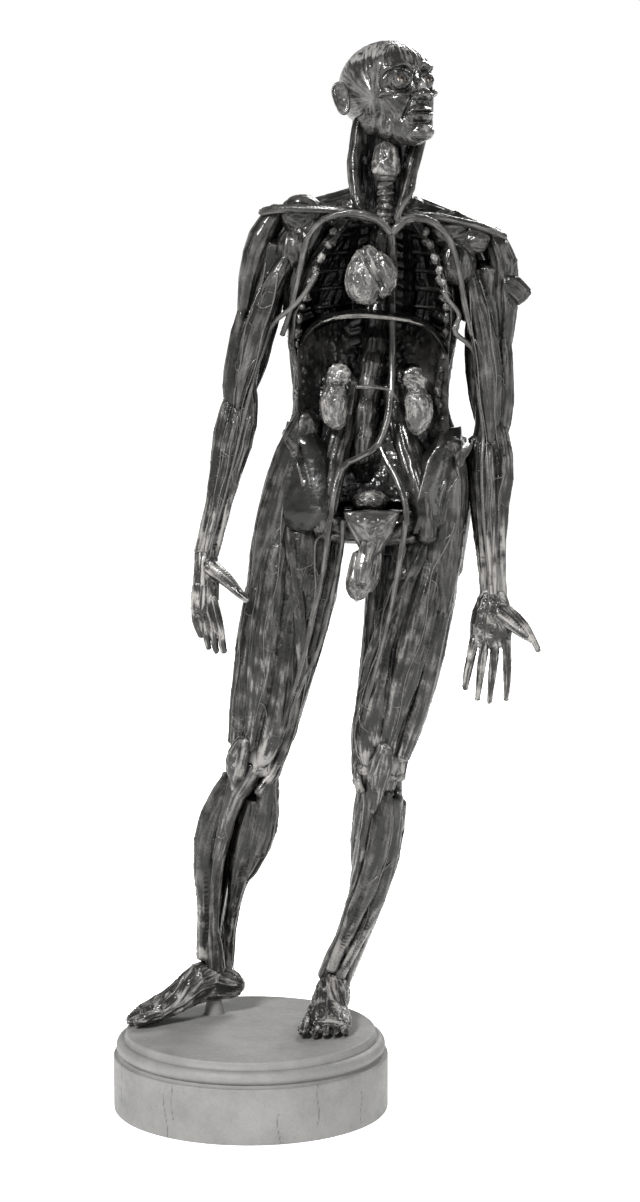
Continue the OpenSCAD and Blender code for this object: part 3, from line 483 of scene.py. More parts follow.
def lump(centre, radii):
    """A closed ellipsoid along X, Y and Z."""
    points, faces = unit_ball(14, 20)
    return points * radii + centre, faces


def end_of(name, top):
    """The middle of the top or bottom twelfth of a long CAD node."""
    points = coordinates(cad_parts[name].data)
    low, high = points[:, 2].min(), points[:, 2].max()
    cut = high - (high - low) * 0.08 if top else low + (high - low) * 0.08
    return points[points[:, 2] > cut].mean(0) if top else points[points[:, 2] < cut].mean(0)


def store_paint(mesh, fibre, hollow, pale, dark):
    """What the varnished finishes read: strands, painted shade in creases ('hollow'), tendon, and painted shade in
    recesses ('dark'), from 0 to 1.
    """
    for name, values in (("fibre", fibre), ("hollow", hollow), ("pale", pale), ("dark", dark)):
        store(mesh, name, np.broadcast_to(values, len(mesh.vertices)))


solid_meshes = {}


def flesh(name, cad_nodes, body, slot_name, finish, voxel=1.0, smooth=5, fine=0.16, bundle=0.26, bundle_cell=2.6,
          swell_by=0, seed=1, pale=None, dark=None, shape=None, aim=None, extra=(), own_form=False):
    """A CAD solid remade as modelled flesh: smoothed, with fibres raised along its muscles."""
    made = remeshed(name, cad_copy([] if own_form else cad_nodes, extra), voxel)
    mesh = made.data
    pairs = neighbours(mesh)
    points = relaxed(coordinates(mesh), pairs, smooth)
    if swell_by:
        points = points + normals_of(mesh, points) * swell_by
    if shape:
        points = shape(points, normals_of(mesh, points))
    normals = normals_of(mesh, points)
    along = fibre_directions(normals, pairs)
    if aim:
        along = aim(points, along)
        along = along - normals * (along * normals).sum(1)[:, None]
        along /= np.maximum(np.linalg.norm(along, axis=1), 1e-9)[:, None]
    fibre = streaks(points, along, 0.85, 9, seed)
    bundles = streaks(points, along, bundle_cell, 20, seed + 1)
    mottle = lattice_noise(points, 5.5, seed + 2) - 0.5
    # How far each vertex lies below its neighbours: it deepens the creases here and is kept as 'hollow', painted shade
    # that darkens the creases.
    hollow = ((spread(points, pairs, 6) - points) * normals).sum(1)
    rise = fine * np.clip(fibre, -2, 2) + bundle * np.clip(bundles, -1.6, 1.6) - 0.9 * np.clip(hollow * 3, 0, 1.2)
    points = points + normals * (rise - bundle * 0.8)[:, None]
    mesh.vertices.foreach_set("co", (points * 0.001).ravel())
    mesh.polygons.foreach_set("use_smooth", [True] * len(mesh.polygons))
    mesh.update()
    # 'hollow' and 'dark' are painted shade, darkening creases and recesses towards the shade tone.
    store_paint(mesh, np.clip(0.5 + fibre * 0.2 + bundles * 0.07 + mottle * 0.7, 0, 1),
                np.clip(hollow * 3.5 - bundles * 0.08, 0, 1),
                np.clip(pale(points, normals), 0, 1) if pale else 0,
                np.clip(dark(points, normals), 0, 1) if dark else 0)
    solid_meshes[name] = mesh
    return dressed(made, body, finish, cad_nodes)


def varnish_group():
    """Painted fibres under varnish: dark flesh with paler strands, pale where tendon, and painted shade, near black, in
    creases and recesses.
    """
    group = bpy.data.node_groups.new("varnished_fibre", "ShaderNodeTree")
    face = group.interface
    for title in ("Painted shade", "Flesh", "Strand", "Tendon"):
        face.new_socket(title, in_out="INPUT", socket_type="NodeSocketColor")
    face.new_socket("Grain", in_out="INPUT", socket_type="NodeSocketFloat").default_value = 0.5
    face.new_socket("Colour", in_out="OUTPUT", socket_type="NodeSocketColor")
    face.new_socket("Roughness", in_out="OUTPUT", socket_type="NodeSocketFloat")
    face.new_socket("Height", in_out="OUTPUT", socket_type="NodeSocketFloat")
    start, end = node(group, "NodeGroupInput"), node(group, "NodeGroupOutput")
    link = group.links.new
    where = node(group, "ShaderNodeTexCoord").outputs["Object"]
    attribute = {}
    for title in ("fibre", "hollow", "pale", "dark"):
        attribute[title] = node(group, "ShaderNodeAttribute", attribute_name=title).outputs["Fac"]
    grain = node(group, "ShaderNodeTexNoise", Scale=620.0, Detail=5.0, Roughness=0.68)
    patches = node(group, "ShaderNodeTexNoise", Scale=70.0, Detail=4.0, Roughness=0.6)
    for texture in (grain, patches):
        link(where, texture.inputs["Vector"])

    def sum_of(first, second, weight):
        made = node(group, "ShaderNodeMath", operation="MULTIPLY_ADD")
        link(second, made.inputs[0])
        made.inputs[1].default_value = weight
        link(first, made.inputs[2])
        return made.outputs[0]

    level = sum_of(attribute["fibre"], grain.outputs["Fac"], 0.55)
    level = sum_of(level, patches.outputs["Fac"], 0.35)
    strand = node(group, "ShaderNodeMapRange", interpolation_type="SMOOTHSTEP")
    strand.inputs["From Min"].default_value = 0.72
    strand.inputs["From Max"].default_value = 1.35
    link(level, strand.inputs["Value"])
    low = node(group, "ShaderNodeMix", data_type="RGBA")
    link(strand.outputs["Result"], low.inputs["Factor"])
    link(start.outputs["Flesh"], low.inputs[6])
    link(start.outputs["Strand"], low.inputs[7])
    ragged = sum_of(attribute["pale"], level, 0.9)
    tendon_mask = node(group, "ShaderNodeMapRange", interpolation_type="SMOOTHSTEP")
    tendon_mask.inputs["From Min"].default_value = 1.15
    tendon_mask.inputs["From Max"].default_value = 1.75
    link(ragged, tendon_mask.inputs["Value"])
    toned = node(group, "ShaderNodeMix", data_type="RGBA")
    link(tendon_mask.outputs["Result"], toned.inputs["Factor"])
    link(low.outputs[2], toned.inputs[6])
    link(start.outputs["Tendon"], toned.inputs[7])
    # Painted shade: the larger of 'hollow' and 'dark' mixes the colour towards the shade tone.
    shaded = node(group, "ShaderNodeMix", data_type="RGBA")
    shade_amount = node(group, "ShaderNodeMath", operation="MAXIMUM")
    link(attribute["hollow"], shade_amount.inputs[0])
    link(attribute["dark"], shade_amount.inputs[1])
    link(shade_amount.outputs[0], shaded.inputs["Factor"])
    link(toned.outputs[2], shaded.inputs[6])
    link(start.outputs["Painted shade"], shaded.inputs[7])
    link(shaded.outputs[2], end.inputs["Colour"])
    link(ramp(group, grain.outputs["Fac"], greys((0.3, 0.2), (0.7, 0.46))), end.inputs["Roughness"])
    height = node(group, "ShaderNodeMath", operation="MULTIPLY")
    link(grain.outputs["Fac"], height.inputs[0])
    link(start.outputs["Grain"], height.inputs[1])
    link(height.outputs[0], end.inputs["Height"])
    return group


varnished_fibre = varnish_group()


def varnished(name, deep, flesh_tone, strand, tendon, grain=0.5, bump=0.4, coat=0.45):
    """Painted plaster under glossy varnish. The four tones go from the painted shade of creases and recesses to the
    tendons.
    """
    made = material(name, (flesh_tone,) * 3, 0.35, Coat_Weight=coat, Coat_Roughness=0.16, Specular_IOR_Level=0.25)
    tree = made.node_tree
    shader = tree.nodes["Principled BSDF"]
    paint = node(tree, "ShaderNodeGroup")
    paint.node_tree = varnished_fibre
    for title, tone in (("Painted shade", deep), ("Flesh", flesh_tone), ("Strand", strand), ("Tendon", tendon)):
        paint.inputs[title].default_value = (tone * 1.03, tone, tone * 0.95, 1)
    paint.inputs["Grain"].default_value = grain
    tree.links.new(paint.outputs["Colour"], shader.inputs["Base Color"])
    tree.links.new(paint.outputs["Roughness"], shader.inputs["Roughness"])
    skin = node(tree, "ShaderNodeBump", Strength=bump, Distance=0.0006)
    tree.links.new(paint.outputs["Height"], skin.inputs["Height"])
    tree.links.new(skin.outputs["Normal"], shader.inputs["Normal"])
    return made


muscle_finish = varnished("varnished_muscle", 0.0015, 0.011, 0.06, 0.22)


def thigh_pale(knee_x):
    """Pale tendon over the knee, fading up the thigh."""
    return lambda p, n: 0.9 * near(p, [(knee_x, -8, 236, 22)]) + 0.25 * near(p, [(knee_x, 0, 300, 40)])


def muscle(name, *cad_nodes, **settings):
    """A muscle of the fixed figure."""
    return flesh(name, cad_nodes, "figure", "varnished_muscle", muscle_finish, **settings)


def bony(name, cad_node, finish, **settings):
    """A bone, gristle or bare tendon of the fixed figure."""
    return flesh(name, [cad_node], "figure", "bone_and_tendon", finish, **settings)


for side, knee_x in (("right", 1), ("left", 88)):
    for i, part in enumerate(("thigh_core", "thigh_front", "thigh_inner", "thigh_back", "hip_muscles")):
        name = side + "_" + part
        muscle(name + "_flesh", name, seed=10 + 7 * i + len(side), swell_by=2.6 if part == "hip_muscles" else 1.0,
               smooth=10 if part == "hip_muscles" else 5, pale=thigh_pale(knee_x))

# ---- Shins, knees and feet ----
# The front of the shin shows bone and long tendons; the calf is two heads over a flat muscle that
# ends in the heel tendon. The feet are modelled in one with their toes, tendons and veins.
knob_finish = varnished("varnished_rib_end", 0.004, 0.06, 0.24, 0.42, grain=0.7)
knee_finish = varnished("varnished_knee", 0.003, 0.022, 0.085, 0.2)
foot_finish = varnished("varnished_tendon", 0.002, 0.022, 0.11, 0.28, grain=0.7)
bone_finish = varnished("varnished_bone", 0.003, 0.035, 0.13, 0.27, grain=0.7)
for side, knee_x, ankle in (("right", 1, (-26, 38, 92)), ("left", 88, (57, 34, 85))):
    shin_pale = lambda p, n, a=ankle: np.clip((150 - p[:, 2]) / 70, 0, 0.85)
    muscle(side + "_shin_flesh", side + "_shin_muscles", voxel=0.9, seed=60 + len(side), pale=shin_pale, bundle=0.3,
           swell_by=2.2)
    muscle(side + "_calf_flesh", side + "_calf", voxel=0.9, seed=66 + len(side), pale=shin_pale, bundle=0.35,
           swell_by=1.0)
    bony(side + "_shin_bone", side + "_shin_bones", knee_finish, voxel=0.9, seed=72 + len(side), bundle=0.15,
         pale=lambda p, n: np.full(len(p), 0.2))
    bony(side + "_kneecap_cover", side + "_kneecap", knee_finish, voxel=0.8, seed=78 + len(side), bundle=0.15,
         pale=lambda p, n: np.full(len(p), 0.35))
    flesh(side + "_foot_flesh", [side + "_foot"], "figure", "varnished_muscle", foot_finish, voxel=0.65,
          seed=84 + len(side), fine=0.22, bundle=0.4, bundle_cell=1.9, pale=lambda p, n: np.full(len(p), 0.3))

# ---- Trunk walls, ribs and diaphragm ----
# The front of the trunk is cut away. The chest wall and belly wall are a thin shell of modelled
# plaster with nearly black painted shade inside; ribs stand out as ridges and end in pale knobs along the cut edge.
spine_lo, spine_hi = box_mm("spine")
spine_x = (spine_lo[0] + spine_hi[0]) / 2


def facing_in(points, normals, edge=0.15):
    """1 where a wall faces the hollow of the trunk."""
    inward = np.stack([spine_x - points[:, 0], -4 - points[:, 1]], 1)
    inward /= np.maximum(np.linalg.norm(inward, axis=1), 1e-6)[:, None]
    return np.clip(((inward * normals[:, :2]).sum(1) - edge) * 4, 0, 1)


chest_top = box_mm("chest_wall")[1][2]
# Painted shade: the faces that look into the hollow of the trunk are darkened, the chest more than the belly.
muscle("chest_wall_flesh", "chest_wall", voxel=0.9, seed=100, bundle=0.3, dark=lambda p, n: 0.93 * facing_in(p, n))
muscle("belly_wall_flesh", "belly_wall", voxel=0.9, seed=104, bundle=0.3, dark=lambda p, n: 0.45 * facing_in(p, n))


def cut_edge(names, side):
    """The front edge of the open wall on one side, as points from its top down."""
    points = np.concatenate([coordinates(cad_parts[name].data) for name in names])
    points = points[(points[:, 0] - spine_x) * side > 0]
    line = []
    for z in np.arange(points[:, 2].max() - 8, points[:, 2].min() + 22, -8.2):
        band = points[np.abs(points[:, 2] - z) < 9]
        if len(band):
            front = band[band[:, 1] < band[:, 1].min() + 3]
            line.append([front[:, 0].mean() - side * 0.6, band[:, 1].min() + 2.0, z])
    return spread_line(np.array(line))


def spread_line(line):
    """A line with its kinks evened out."""
    line = line.copy()
    for _ in range(2):
        line[1:-1] = (line[:-2] + 2 * line[1:-1] + line[2:]) / 4
    return line


edge_knobs = []
for side in (-1, 1):
    for i, spot in enumerate(cut_edge(["chest_wall", "belly_wall"], side)):
        size = 3.0 - 0.07 * i
        edge_knobs.append(lump(spot, (size, 2.6, size * 1.15 if i % 2 else size)))
# Painted shade: the ribs darken towards the back of the trunk.
bony("rib_bars", "ribs", knob_finish, voxel=0.7, seed=108, bundle=0.2, smooth=3, extra=edge_knobs,
     dark=lambda p, n: np.clip((p[:, 1] + 8) / 8, 0, 0.78), pale=lambda p, n: np.clip((-8 - p[:, 1]) / 4, 0, 0.7))
# Painted shade: the diaphragm darkens towards the back of the trunk.
muscle("diaphragm_sheet", "diaphragm", voxel=0.7, seed=112, bundle=0.15, smooth=3,
       dark=lambda p, n: np.clip(0.2 + (p[:, 1] + 20) / 14, 0, 0.8),
       pale=lambda p, n: np.clip((-19 - p[:, 1]) / 5, 0, 1))


def rib_ridges(points, normals):
    """The ribs and the spaces between them, seen from inside the chest."""
    slope = points[:, 2] + 0.28 * np.abs(points[:, 0] - spine_x) - 0.25 * (points[:, 1] - 20)
    wave = np.sin(slope * 2 * math.pi / 13.2)
    inside = facing_in(points, normals, 0.0) * np.clip((points[:, 2] - 505) / 12, 0, 1)
    return points + normals * (1.1 * np.clip(wave, -0.6, 1) * inside)[:, None]


# Painted shade on the inner faces of the back, full inside the chest and half as strong lower down.
muscle("back_flesh", "back_muscles", seed=116, smooth=10, bundle=0.15, shape=rib_ridges,
       dark=lambda p, n: 0.93 * facing_in(p, n, 0.1) * np.clip((p[:, 2] - 495) / 30, 0.5, 1))

belly_lo, belly_hi = box_mm("belly_wall")
lining_half = (belly_hi[0] - belly_lo[0]) / 2 - 9
lining_x = (belly_hi[0] + belly_lo[0]) / 2
lining_foot, lining_head = belly_lo[2] + 22, box_mm("diaphragm")[1][2] - 5
grid_u, grid_v = np.meshgrid(np.linspace(-1, 1, 200), np.linspace(0, 1, 170))


def lining_sheet(push):
    """Points of the sheet that lines the back of the belly, pushed back by a distance."""
    x = lining_x + grid_u * lining_half
    z = lining_foot + grid_v * (lining_head - 15 * grid_u ** 2 - lining_foot)
    back = 17 + 0.2 * (z - belly_lo[2] - 40)
    y = back - np.abs(grid_u) ** 2.4 * (back + 8) + push
    return np.stack([x, y, z], 2).reshape(-1, 3)


rows, columns = grid_u.shape


def slab_faces():
    """Faces of a closed slab: a front grid, a back grid and the rim between them."""
    count = rows * columns
    quads = [(i * columns + j, i * columns + j + 1, (i + 1) * columns + j + 1, (i + 1) * columns + j)
             for i in range(rows - 1) for j in range(columns - 1)]
    rim = [i * columns for i in range(rows)] + [(rows - 1) * columns + j for j in range(1, columns)]
    rim += [i * columns + columns - 1 for i in range(rows - 2, -1, -1)] + list(range(columns - 2, 0, -1))
    quads += [tuple(count + i for i in q[::-1]) for q in quads]
    return quads + [(rim[i], rim[(i + 1) % len(rim)], rim[(i + 1) % len(rim)] + count, rim[i] + count)
                    for i in range(len(rim))]


sheet_front, sheet_back = lining_sheet(0), lining_sheet(1.6)
puckers = (lattice_noise(sheet_front, 9, 71) + 0.6 * lattice_noise(sheet_front, 3.2, 72)
           + 0.25 * lattice_noise(sheet_front, 1.3, 73))
sheet_front[:, 1] += 2.2 * (puckers - 0.9)
lining = new_object("belly_lining", np.concatenate([sheet_front, sheet_back]), slab_faces(), "figure",
                    muscle_finish)
# Painted shade: the sheet darkens towards its bottom, down in the pelvis, and a little towards its sides; its 'hollow'
# value darkens it where the pucker noise is low, which is where the sheet stands forward.
lining_shade = np.clip(0.5 - 0.5 * grid_v.ravel() + np.abs(grid_u.ravel()) * 0.1, 0, 0.5)
store_paint(lining.data, np.tile(np.clip(puckers - 0.35, 0, 1), 2), np.tile(np.clip(0.75 - puckers, 0, 0.5), 2), 0,
            np.tile(lining_shade, 2))
solid_meshes["belly_lining"] = lining.data

# ---- Hip sheets ----
# A broad sheet of flesh on each side spreads from the cut waist over the hip bone to the groin.
# It is laid on as one skin of plaster, worked down to nothing at its edges.
hip_sections = {       # (height, outer x, inner x, outer y, inner y) from the waist down
    "right": [(466, 25, 41, 2, -7), (444, 19, 55, 3, -12), (418, 14.5, 60, 2, -22), (396, 13, 56, 0, -26)],
    "left": [(463, 141, 129, 2, -8), (442, 143.5, 113, 3, -12), (416, 142.5, 105, 2, -22), (394, 143, 108, 0, -26)]}
hip_thickness = 3.2
for side, sections in hip_sections.items():
    row = grid_v * (len(sections) - 1)
    z, outer, inner, outer_y, inner_y = (np.interp(row, range(len(sections)), column)
                                         for column in np.array(sections, float).T)
    across = (grid_u + 1) / 2
    x = outer + (inner - outer) * across
    y = outer_y + (inner_y - outer_y) * across ** 0.8 - 7 * np.sin(math.pi * np.clip(across, 0, 1)) ** 0.9
    front = np.stack([x, y, z], 2).reshape(-1, 3)
    puffs = lattice_noise(front, 11, 81) + 0.35 * lattice_noise(front, 4, 82) + 0.1 * lattice_noise(front, 1.6, 83)
    edge = np.minimum(np.minimum(across, 1 - across) * 6, np.minimum(grid_v, 1 - grid_v) * 5).ravel()
    front[:, 1] += 9 * (1 - np.clip(edge, 0, 1)) ** 1.5 - 1.3 * (puffs - 0.75)
    back = front + (0, hip_thickness, 0)
    faces = slab_faces() if side == "left" else [f[::-1] for f in slab_faces()]
    sheet = new_object(side + "_hip_sheet", np.concatenate([front, back]), faces, "figure",
                       muscle_finish)
    # Painted shade in the dips between the puffs.
    store_paint(sheet.data, np.tile(np.clip(puffs - 0.4, 0, 1), 2), np.tile(np.clip(0.8 - puffs, 0, 0.5), 2),
                np.tile(np.clip(0.5 - edge, 0, 0.5), 2), 0)
    solid_meshes[side + "_hip_sheet"] = sheet.data

# ---- Spine, pelvis and loins ----
# Vertebrae and discs show pale down the middle of the hollow. The loin muscles fan down from them
# over the hip bones, and the pelvic bowl is closed in front by the pubic plate.
# Painted shade: the spine darkens where it runs up into the chest and down into the pelvis.
bony("spine_column", "spine", bone_finish, voxel=0.8, seed=120, bundle=0.35, smooth=2, fine=0.25, bundle_cell=3,
     dark=lambda p, n: np.clip(np.maximum((p[:, 2] - 500) / 25, (452 - p[:, 2]) / 12), 0, 0.9))
bony("pelvis_bowl", "pelvis", knee_finish, voxel=0.9, seed=124, bundle=0.25)
bony("pubic_front", "pubic_plate", bone_finish, voxel=0.7, seed=128, bundle=0.3)
muscle("loin_flesh", "loin_muscles", voxel=0.9, seed=132, fine=0.3)

# ---- Lift-out organs ----
# Heart, kidneys and bladder are separate pieces of cast plaster. Each slides forward off a steel
# peg in its back, through a plain bore a little wider than the peg.
organ_finish = varnished("varnished_organ", 0.004, 0.045, 0.19, 0.3, grain=0.9, bump=0.5, coat=0.8)
vessel_finish = varnished("varnished_vessel", 0.003, 0.03, 0.09, 0.15, grain=0.3, coat=0.8)


def islands(name):
    """The separate solids of a CAD node, as arrays of points in millimetres."""
    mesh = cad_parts[name].data
    points = np.round(coordinates(mesh), 3)
    unique, back = np.unique(points, axis=0, return_inverse=True)
    back = back.ravel()
    label = np.arange(len(unique))
    pairs = back[neighbours(mesh)]
    for _ in range(200):
        low = np.minimum(label[pairs[:, 0]], label[pairs[:, 1]])
        before = label.copy()
        np.minimum.at(label, pairs[:, 0], low)
        np.minimum.at(label, pairs[:, 1], low)
        if (before == label).all():
            break
    return [unique[label == i] for i in np.unique(label)]


pegs = []
for solid in islands("organ_pegs"):
    centre = solid.mean(0)
    pegs.append((centre, np.linalg.svd(solid - centre)[2][0], np.abs((solid - centre)).max()))
peg_r = 1.5


def clear_of_pegs(points, gap=0.35):
    """Keeps the bores open round the pegs."""
    for centre, axis, _ in pegs:
        rel = points - centre
        along = rel @ axis
        out = rel - along[:, None] * axis
        far = np.linalg.norm(out, axis=1)
        close = far < 2.6
        points[close] += out[close] / np.maximum(far[close], 1e-6)[:, None] \
            * np.clip(peg_r + gap + (far[close] - peg_r) * 0.4 - far[close], 0, 3)[:, None]
    return points


def heart_relief(points, normals):
    """Knotted surface, a groove between the chambers and the vessels that run down it."""
    rel = points - points.mean(0)
    groove = np.abs(rel[:, 0] * 0.8 + rel[:, 2] * 0.45 - 3.5)
    lift = 0.9 * (lattice_noise(points, 3.2, 51) - 0.5) - 0.9 * np.exp(-(groove / 1.2) ** 2) \
        + 0.8 * np.exp(-((groove - 2.4) / 0.8) ** 2)
    return clear_of_pegs(points + normals * lift[:, None])


def kidney_relief(points, normals):
    """Smooth below, with the folds of the cap piled above it."""
    high = (points[:, 2] - points[:, 2].min()) / np.ptp(points[:, 2])
    folds = np.abs(lattice_noise(points * (1, 1, 1.5), 4.2, 52) - 0.5) * np.clip((high - 0.5) * 5, 0, 1)
    lift = -2.6 * folds + 0.6 * (lattice_noise(points, 3.0, 53) - 0.5)
    return clear_of_pegs(points + normals * lift[:, None])


for name, relief, seed in (("heart", heart_relief, 140), ("right_kidney", kidney_relief, 144),
                           ("left_kidney", kidney_relief, 148), ("bladder", kidney_relief, 152)):
    flesh(name + "_cast", [name], name, "varnished_organ", organ_finish, voxel=0.6, smooth=4, seed=seed, fine=0.14,
          bundle=0.2, bundle_cell=1.8, shape=relief)
flesh("genital_cast", ["genital_piece"], "figure", "varnished_organ", organ_finish, voxel=0.7, seed=156, fine=0.14,
      bundle=0.25, pale=lambda p, n: np.zeros(len(p)))

# ---- Great vessels ----
# Aorta, subclavian and thigh vessels are wire and cord thickened with wax, painted and varnished.
for name, cad_node, voxel, seed, fine, bundle in (("aorta_tube", "aorta", 0.6, 160, 0.1, 0.12),
                                                 ("shoulder_vessel_tubes", "shoulder_vessels", 0.6, 164, 0.1, 0.12),
                                                 ("thigh_vessel_tubes", "thigh_vessels", 0.55, 168, 0.08, 0.1)):
    flesh(name, [cad_node], "figure", "vessel", vessel_finish, voxel=voxel, seed=seed, fine=fine, bundle=bundle)

# ---- Neck and shoulders ----
# The neck is open in front: a ringed windpipe stands between two straps of muscle. Collar bones
# and shoulder blades carry the straps and the caps of the shoulders.
windpipe_top = box_mm("windpipe")[1][2]


def windpipe_rings(points, normals):
    """Rings round the tube, and a knotted voice box on top of it."""
    lower = np.clip((windpipe_top - 18 - points[:, 2]) / 4, 0, 1)
    rings = 0.5 * np.sin(points[:, 2] * 2 * math.pi / 4.6 + 1.5 * lattice_noise(points, 6, 61)) * lower
    knots = (1.6 * (lattice_noise(points, 3.6, 62) - 0.4) + 1.4) * (1 - lower)
    return points + normals * (rings + knots)[:, None]


bony("windpipe_tube", "windpipe", bone_finish, voxel=0.6, seed=172, fine=0.1, bundle=0.15, shape=windpipe_rings,
     pale=lambda p, n: np.full(len(p), 0.25))
neck_lo, neck_hi = box_mm("neck_muscles")
neck_middle = (neck_lo + neck_hi) / 2
neck_fill = [lump(neck_middle + spot, radii) for spot, radii in (
    ((-13, 4, 16), (9, 11, 20)), ((-14, 5, -8), (9, 11, 20)), ((11, 4, 14), (9, 11, 22)), ((10, 5, -10), (10, 11, 18)),
    ((-17, 9, -26), (13, 10, 10)), ((15, 9, -28), (14, 10, 10)), ((-25, 10, -33), (14, 9, 7)),
    ((-36, 12, -37), (15, 8, 5)), ((25, 10, -36), (14, 9, 7)), ((37, 12, -41), (15, 8, 5)))]
# Painted shade on the back wall of the open neck, behind the windpipe.
muscle("neck_flesh", "neck_muscles", voxel=0.8, seed=176, extra=neck_fill, smooth=9,
       pale=lambda p, n: np.full(len(p), 0.15),
       dark=lambda p, n: 0.9 * np.clip((p[:, 1] + 4) / 5, 0, 1) * np.clip(-n[:, 1] * 1.6, 0, 1)
       * (np.abs(p[:, 0] - spine_x - 4) < 15))
# Painted shade on their inner faces towards the back.
bony("shoulder_bone_covers", "shoulder_bones", knee_finish, voxel=0.8, seed=180, bundle=0.25,
     dark=lambda p, n: 0.8 * facing_in(p, n, 0.3) * (p[:, 1] > 0))
shoulder_fill = [lump(end_of(side + "_upper_arm", True) + spot, radii)
                 for side, toward in (("right", 1), ("left", -1))
                 for spot, radii in (((6 * toward, -4, -10), (13, 12, 15)), ((11 * toward, -3, 13), (15, 10, 13)))]
shoulder_y = end_of("left_upper_arm", True)[1] - 3
shoulder_fill += [lump((148, shoulder_y, 586), (11, 10, 9)), lump((139, shoulder_y, 589), (11, 9, 8))]
# Painted shade on the inner faces below the top of the chest.
muscle("shoulder_flesh", "shoulder_muscles", voxel=0.9, seed=184, extra=shoulder_fill,
       dark=lambda p, n: 0.85 * facing_in(p, n, 0.4) * (p[:, 2] < chest_top) * (p[:, 1] < 40))

# ---- Head, ears and eyes ----
# The head is cast in one with its muscles showing: rings round the eyes and mouth, straps on the
# cheeks, a fan at the temples and a smooth skull cap. Glass eyes sit behind modelled lids.
turn, lift = math.radians(34), math.radians(13)
look = np.array([math.sin(turn) * math.cos(lift), -math.cos(turn) * math.cos(lift), math.sin(lift)])
left = np.array([math.cos(turn), math.sin(turn), 0])
crown = np.cross(left, -look)
head_frame = np.stack([left, look, crown], 1)
eye_r = 4.75
eye_side, eye_fore, eye_up = 9.5, 21, 2
eyes_middle = (np.array(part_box("eyes")[0]) + np.array(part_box("eyes")[1])) * 500
head_at = eyes_middle - look * eye_fore - crown * eye_up


def ball(centre, radii, rows=16, turns=24):
    """A closed ellipsoid in head directions, as (vertices, faces) in millimetres."""
    points, faces = unit_ball(rows, turns)
    return head_at + (points * radii + centre) @ head_frame.T, faces


head_extra = [ball((side * eye_side, eye_fore, eye_up), (eye_r + 0.9,) * 3) for side in (-1, 1)]
# skull, nape, forehead, face and jaw
head_extra += [ball((0, -5, 5), (25.6, 31.8, 26), 40, 60), ball((0, -7, -12), (18.5, 20, 15), 32, 48),
               ball((0, 7, 9), (21, 20.5, 18), 32, 48), ball((0, 12.5, -8), (18, 15, 23), 40, 60),
               ball((0, 15, -22), (13.5, 12, 13), 32, 48)]
head_extra += [ball((0, 26.5, 1), (2.9, 4.4, 7.5)), ball((0, 29.4, -4), (3.2, 4.0, 5.6))]      # bridge of the nose
# cheekbones and brows, chin, lips and tip of the nose, wings of the nose, jaw angles
head_extra += [ball((side * 15.5, 15, -4.5), (4.5, 7, 3)) for side in (-1, 1)]
head_extra += [ball((side * 7.5, 22.5, 9), (8, 4, 2.6)) for side in (-1, 1)]
head_extra += [ball((0, 24.5, -29), (8, 6.2, 5.5)), ball((0, 25.5, -18.5), (9, 4.4, 5.5)),
               ball((0, 32.2, -8.2), (3.5, 3.6, 3.1))]
head_extra += [ball((side * 3.5, 29.2, -9), (2.4, 3.4, 2.3)) for side in (-1, 1)]
head_extra += [ball((side * 12, 8, -19), (5, 10, 10), 32, 48) for side in (-1, 1)]


def swell(local, centre, radii, amount):
    """Amount of push near a place, fading over the given distances."""
    return amount * np.exp(-(((local - centre) / radii) ** 2).sum(1))


def face_relief(points, normals):
    """Calm, closed, evenly proportioned features."""
    local = (points - head_at) @ head_frame
    fore = (normals @ look > 0.2) & (local[:, 1] > 12)
    push = np.zeros(len(points))
    rise = np.zeros(len(points))
    for side in (-1, 1):
        eye = np.array([side * eye_side, eye_fore, eye_up])
        rel = local - eye
        far = np.linalg.norm(rel, axis=1)
        ring = np.hypot(rel[:, 0] / 1.15, rel[:, 2])
        beside_nose = fore * np.clip((side * local[:, 0] - 3.4) / 2.4, 0, 1)
        push -= 2.6 * np.exp(-((ring - 6.6) / 1.5) ** 2) * beside_nose
        push += 0.7 * np.exp(-((ring - 9.4) / 1.2) ** 2) * beside_nose * (rel[:, 2] > -9)
        half_open = 1.55 * np.clip(1 - (rel[:, 0] / 4.1) ** 2, 0, 1)
        open_here = np.clip((half_open - np.abs(rel[:, 2] + 0.15)) * 3, 0, 1) * (far < eye_r + 1.8) * (rel[:, 1] > 1)
        push -= open_here * 2.4
        lid = np.abs(np.abs(rel[:, 2] + 0.15) - half_open)
        push += 0.35 * np.exp(-(lid / 0.45) ** 2) * (far < eye_r + 1.8) * (rel[:, 1] > 2) * (half_open > 0.05)
        push -= swell(local, (side * 2, 31, -11.2), (1.0, 3, 0.9), 1.8)                        # nostrils
        rise -= swell(local, (side * 16.5, 14, -14), (4, 8, 5), 1.8)                          # hollow cheeks
        rise -= swell(local, (side * 23, 12, 6), (5, 7, 6), 1.7)                               # temples
        rise -= 0.9 * np.exp(-((local[:, 0] * side - 5.6 - (-9 - local[:, 2]) * 0.42) / 0.9) ** 2) * fore \
            * (local[:, 2] < -8) * (local[:, 2] > -20)                                          # folds beside the mouth
    wide = np.clip(1 - (local[:, 0] / 8.2) ** 2, 0, 1)
    bow = 0.35 * np.cos(local[:, 0] * 0.9)
    line = local[:, 2] + 18.4 - 0.012 * local[:, 0] ** 2
    push += 1.15 * np.exp(-((line - 1.5 - bow * 0.4) / 0.95) ** 2) * wide * fore
    push += 1.3 * np.exp(-((line + 1.9) / 1.15) ** 2) * wide ** 1.3 * fore
    push -= 1.7 * np.exp(-(line / 0.42) ** 2) * np.clip(1.15 - (local[:, 0] / 8.6) ** 2, 0, 1) * fore
    push -= 1.0 * np.exp(-((line + 5.6) / 1.6) ** 2) * wide * fore
    push -= swell(local, (0, 30, -13.6), (1.1, 4, 2.2), 0.6)
    return points + look * push[:, None] + normals * rise[:, None]


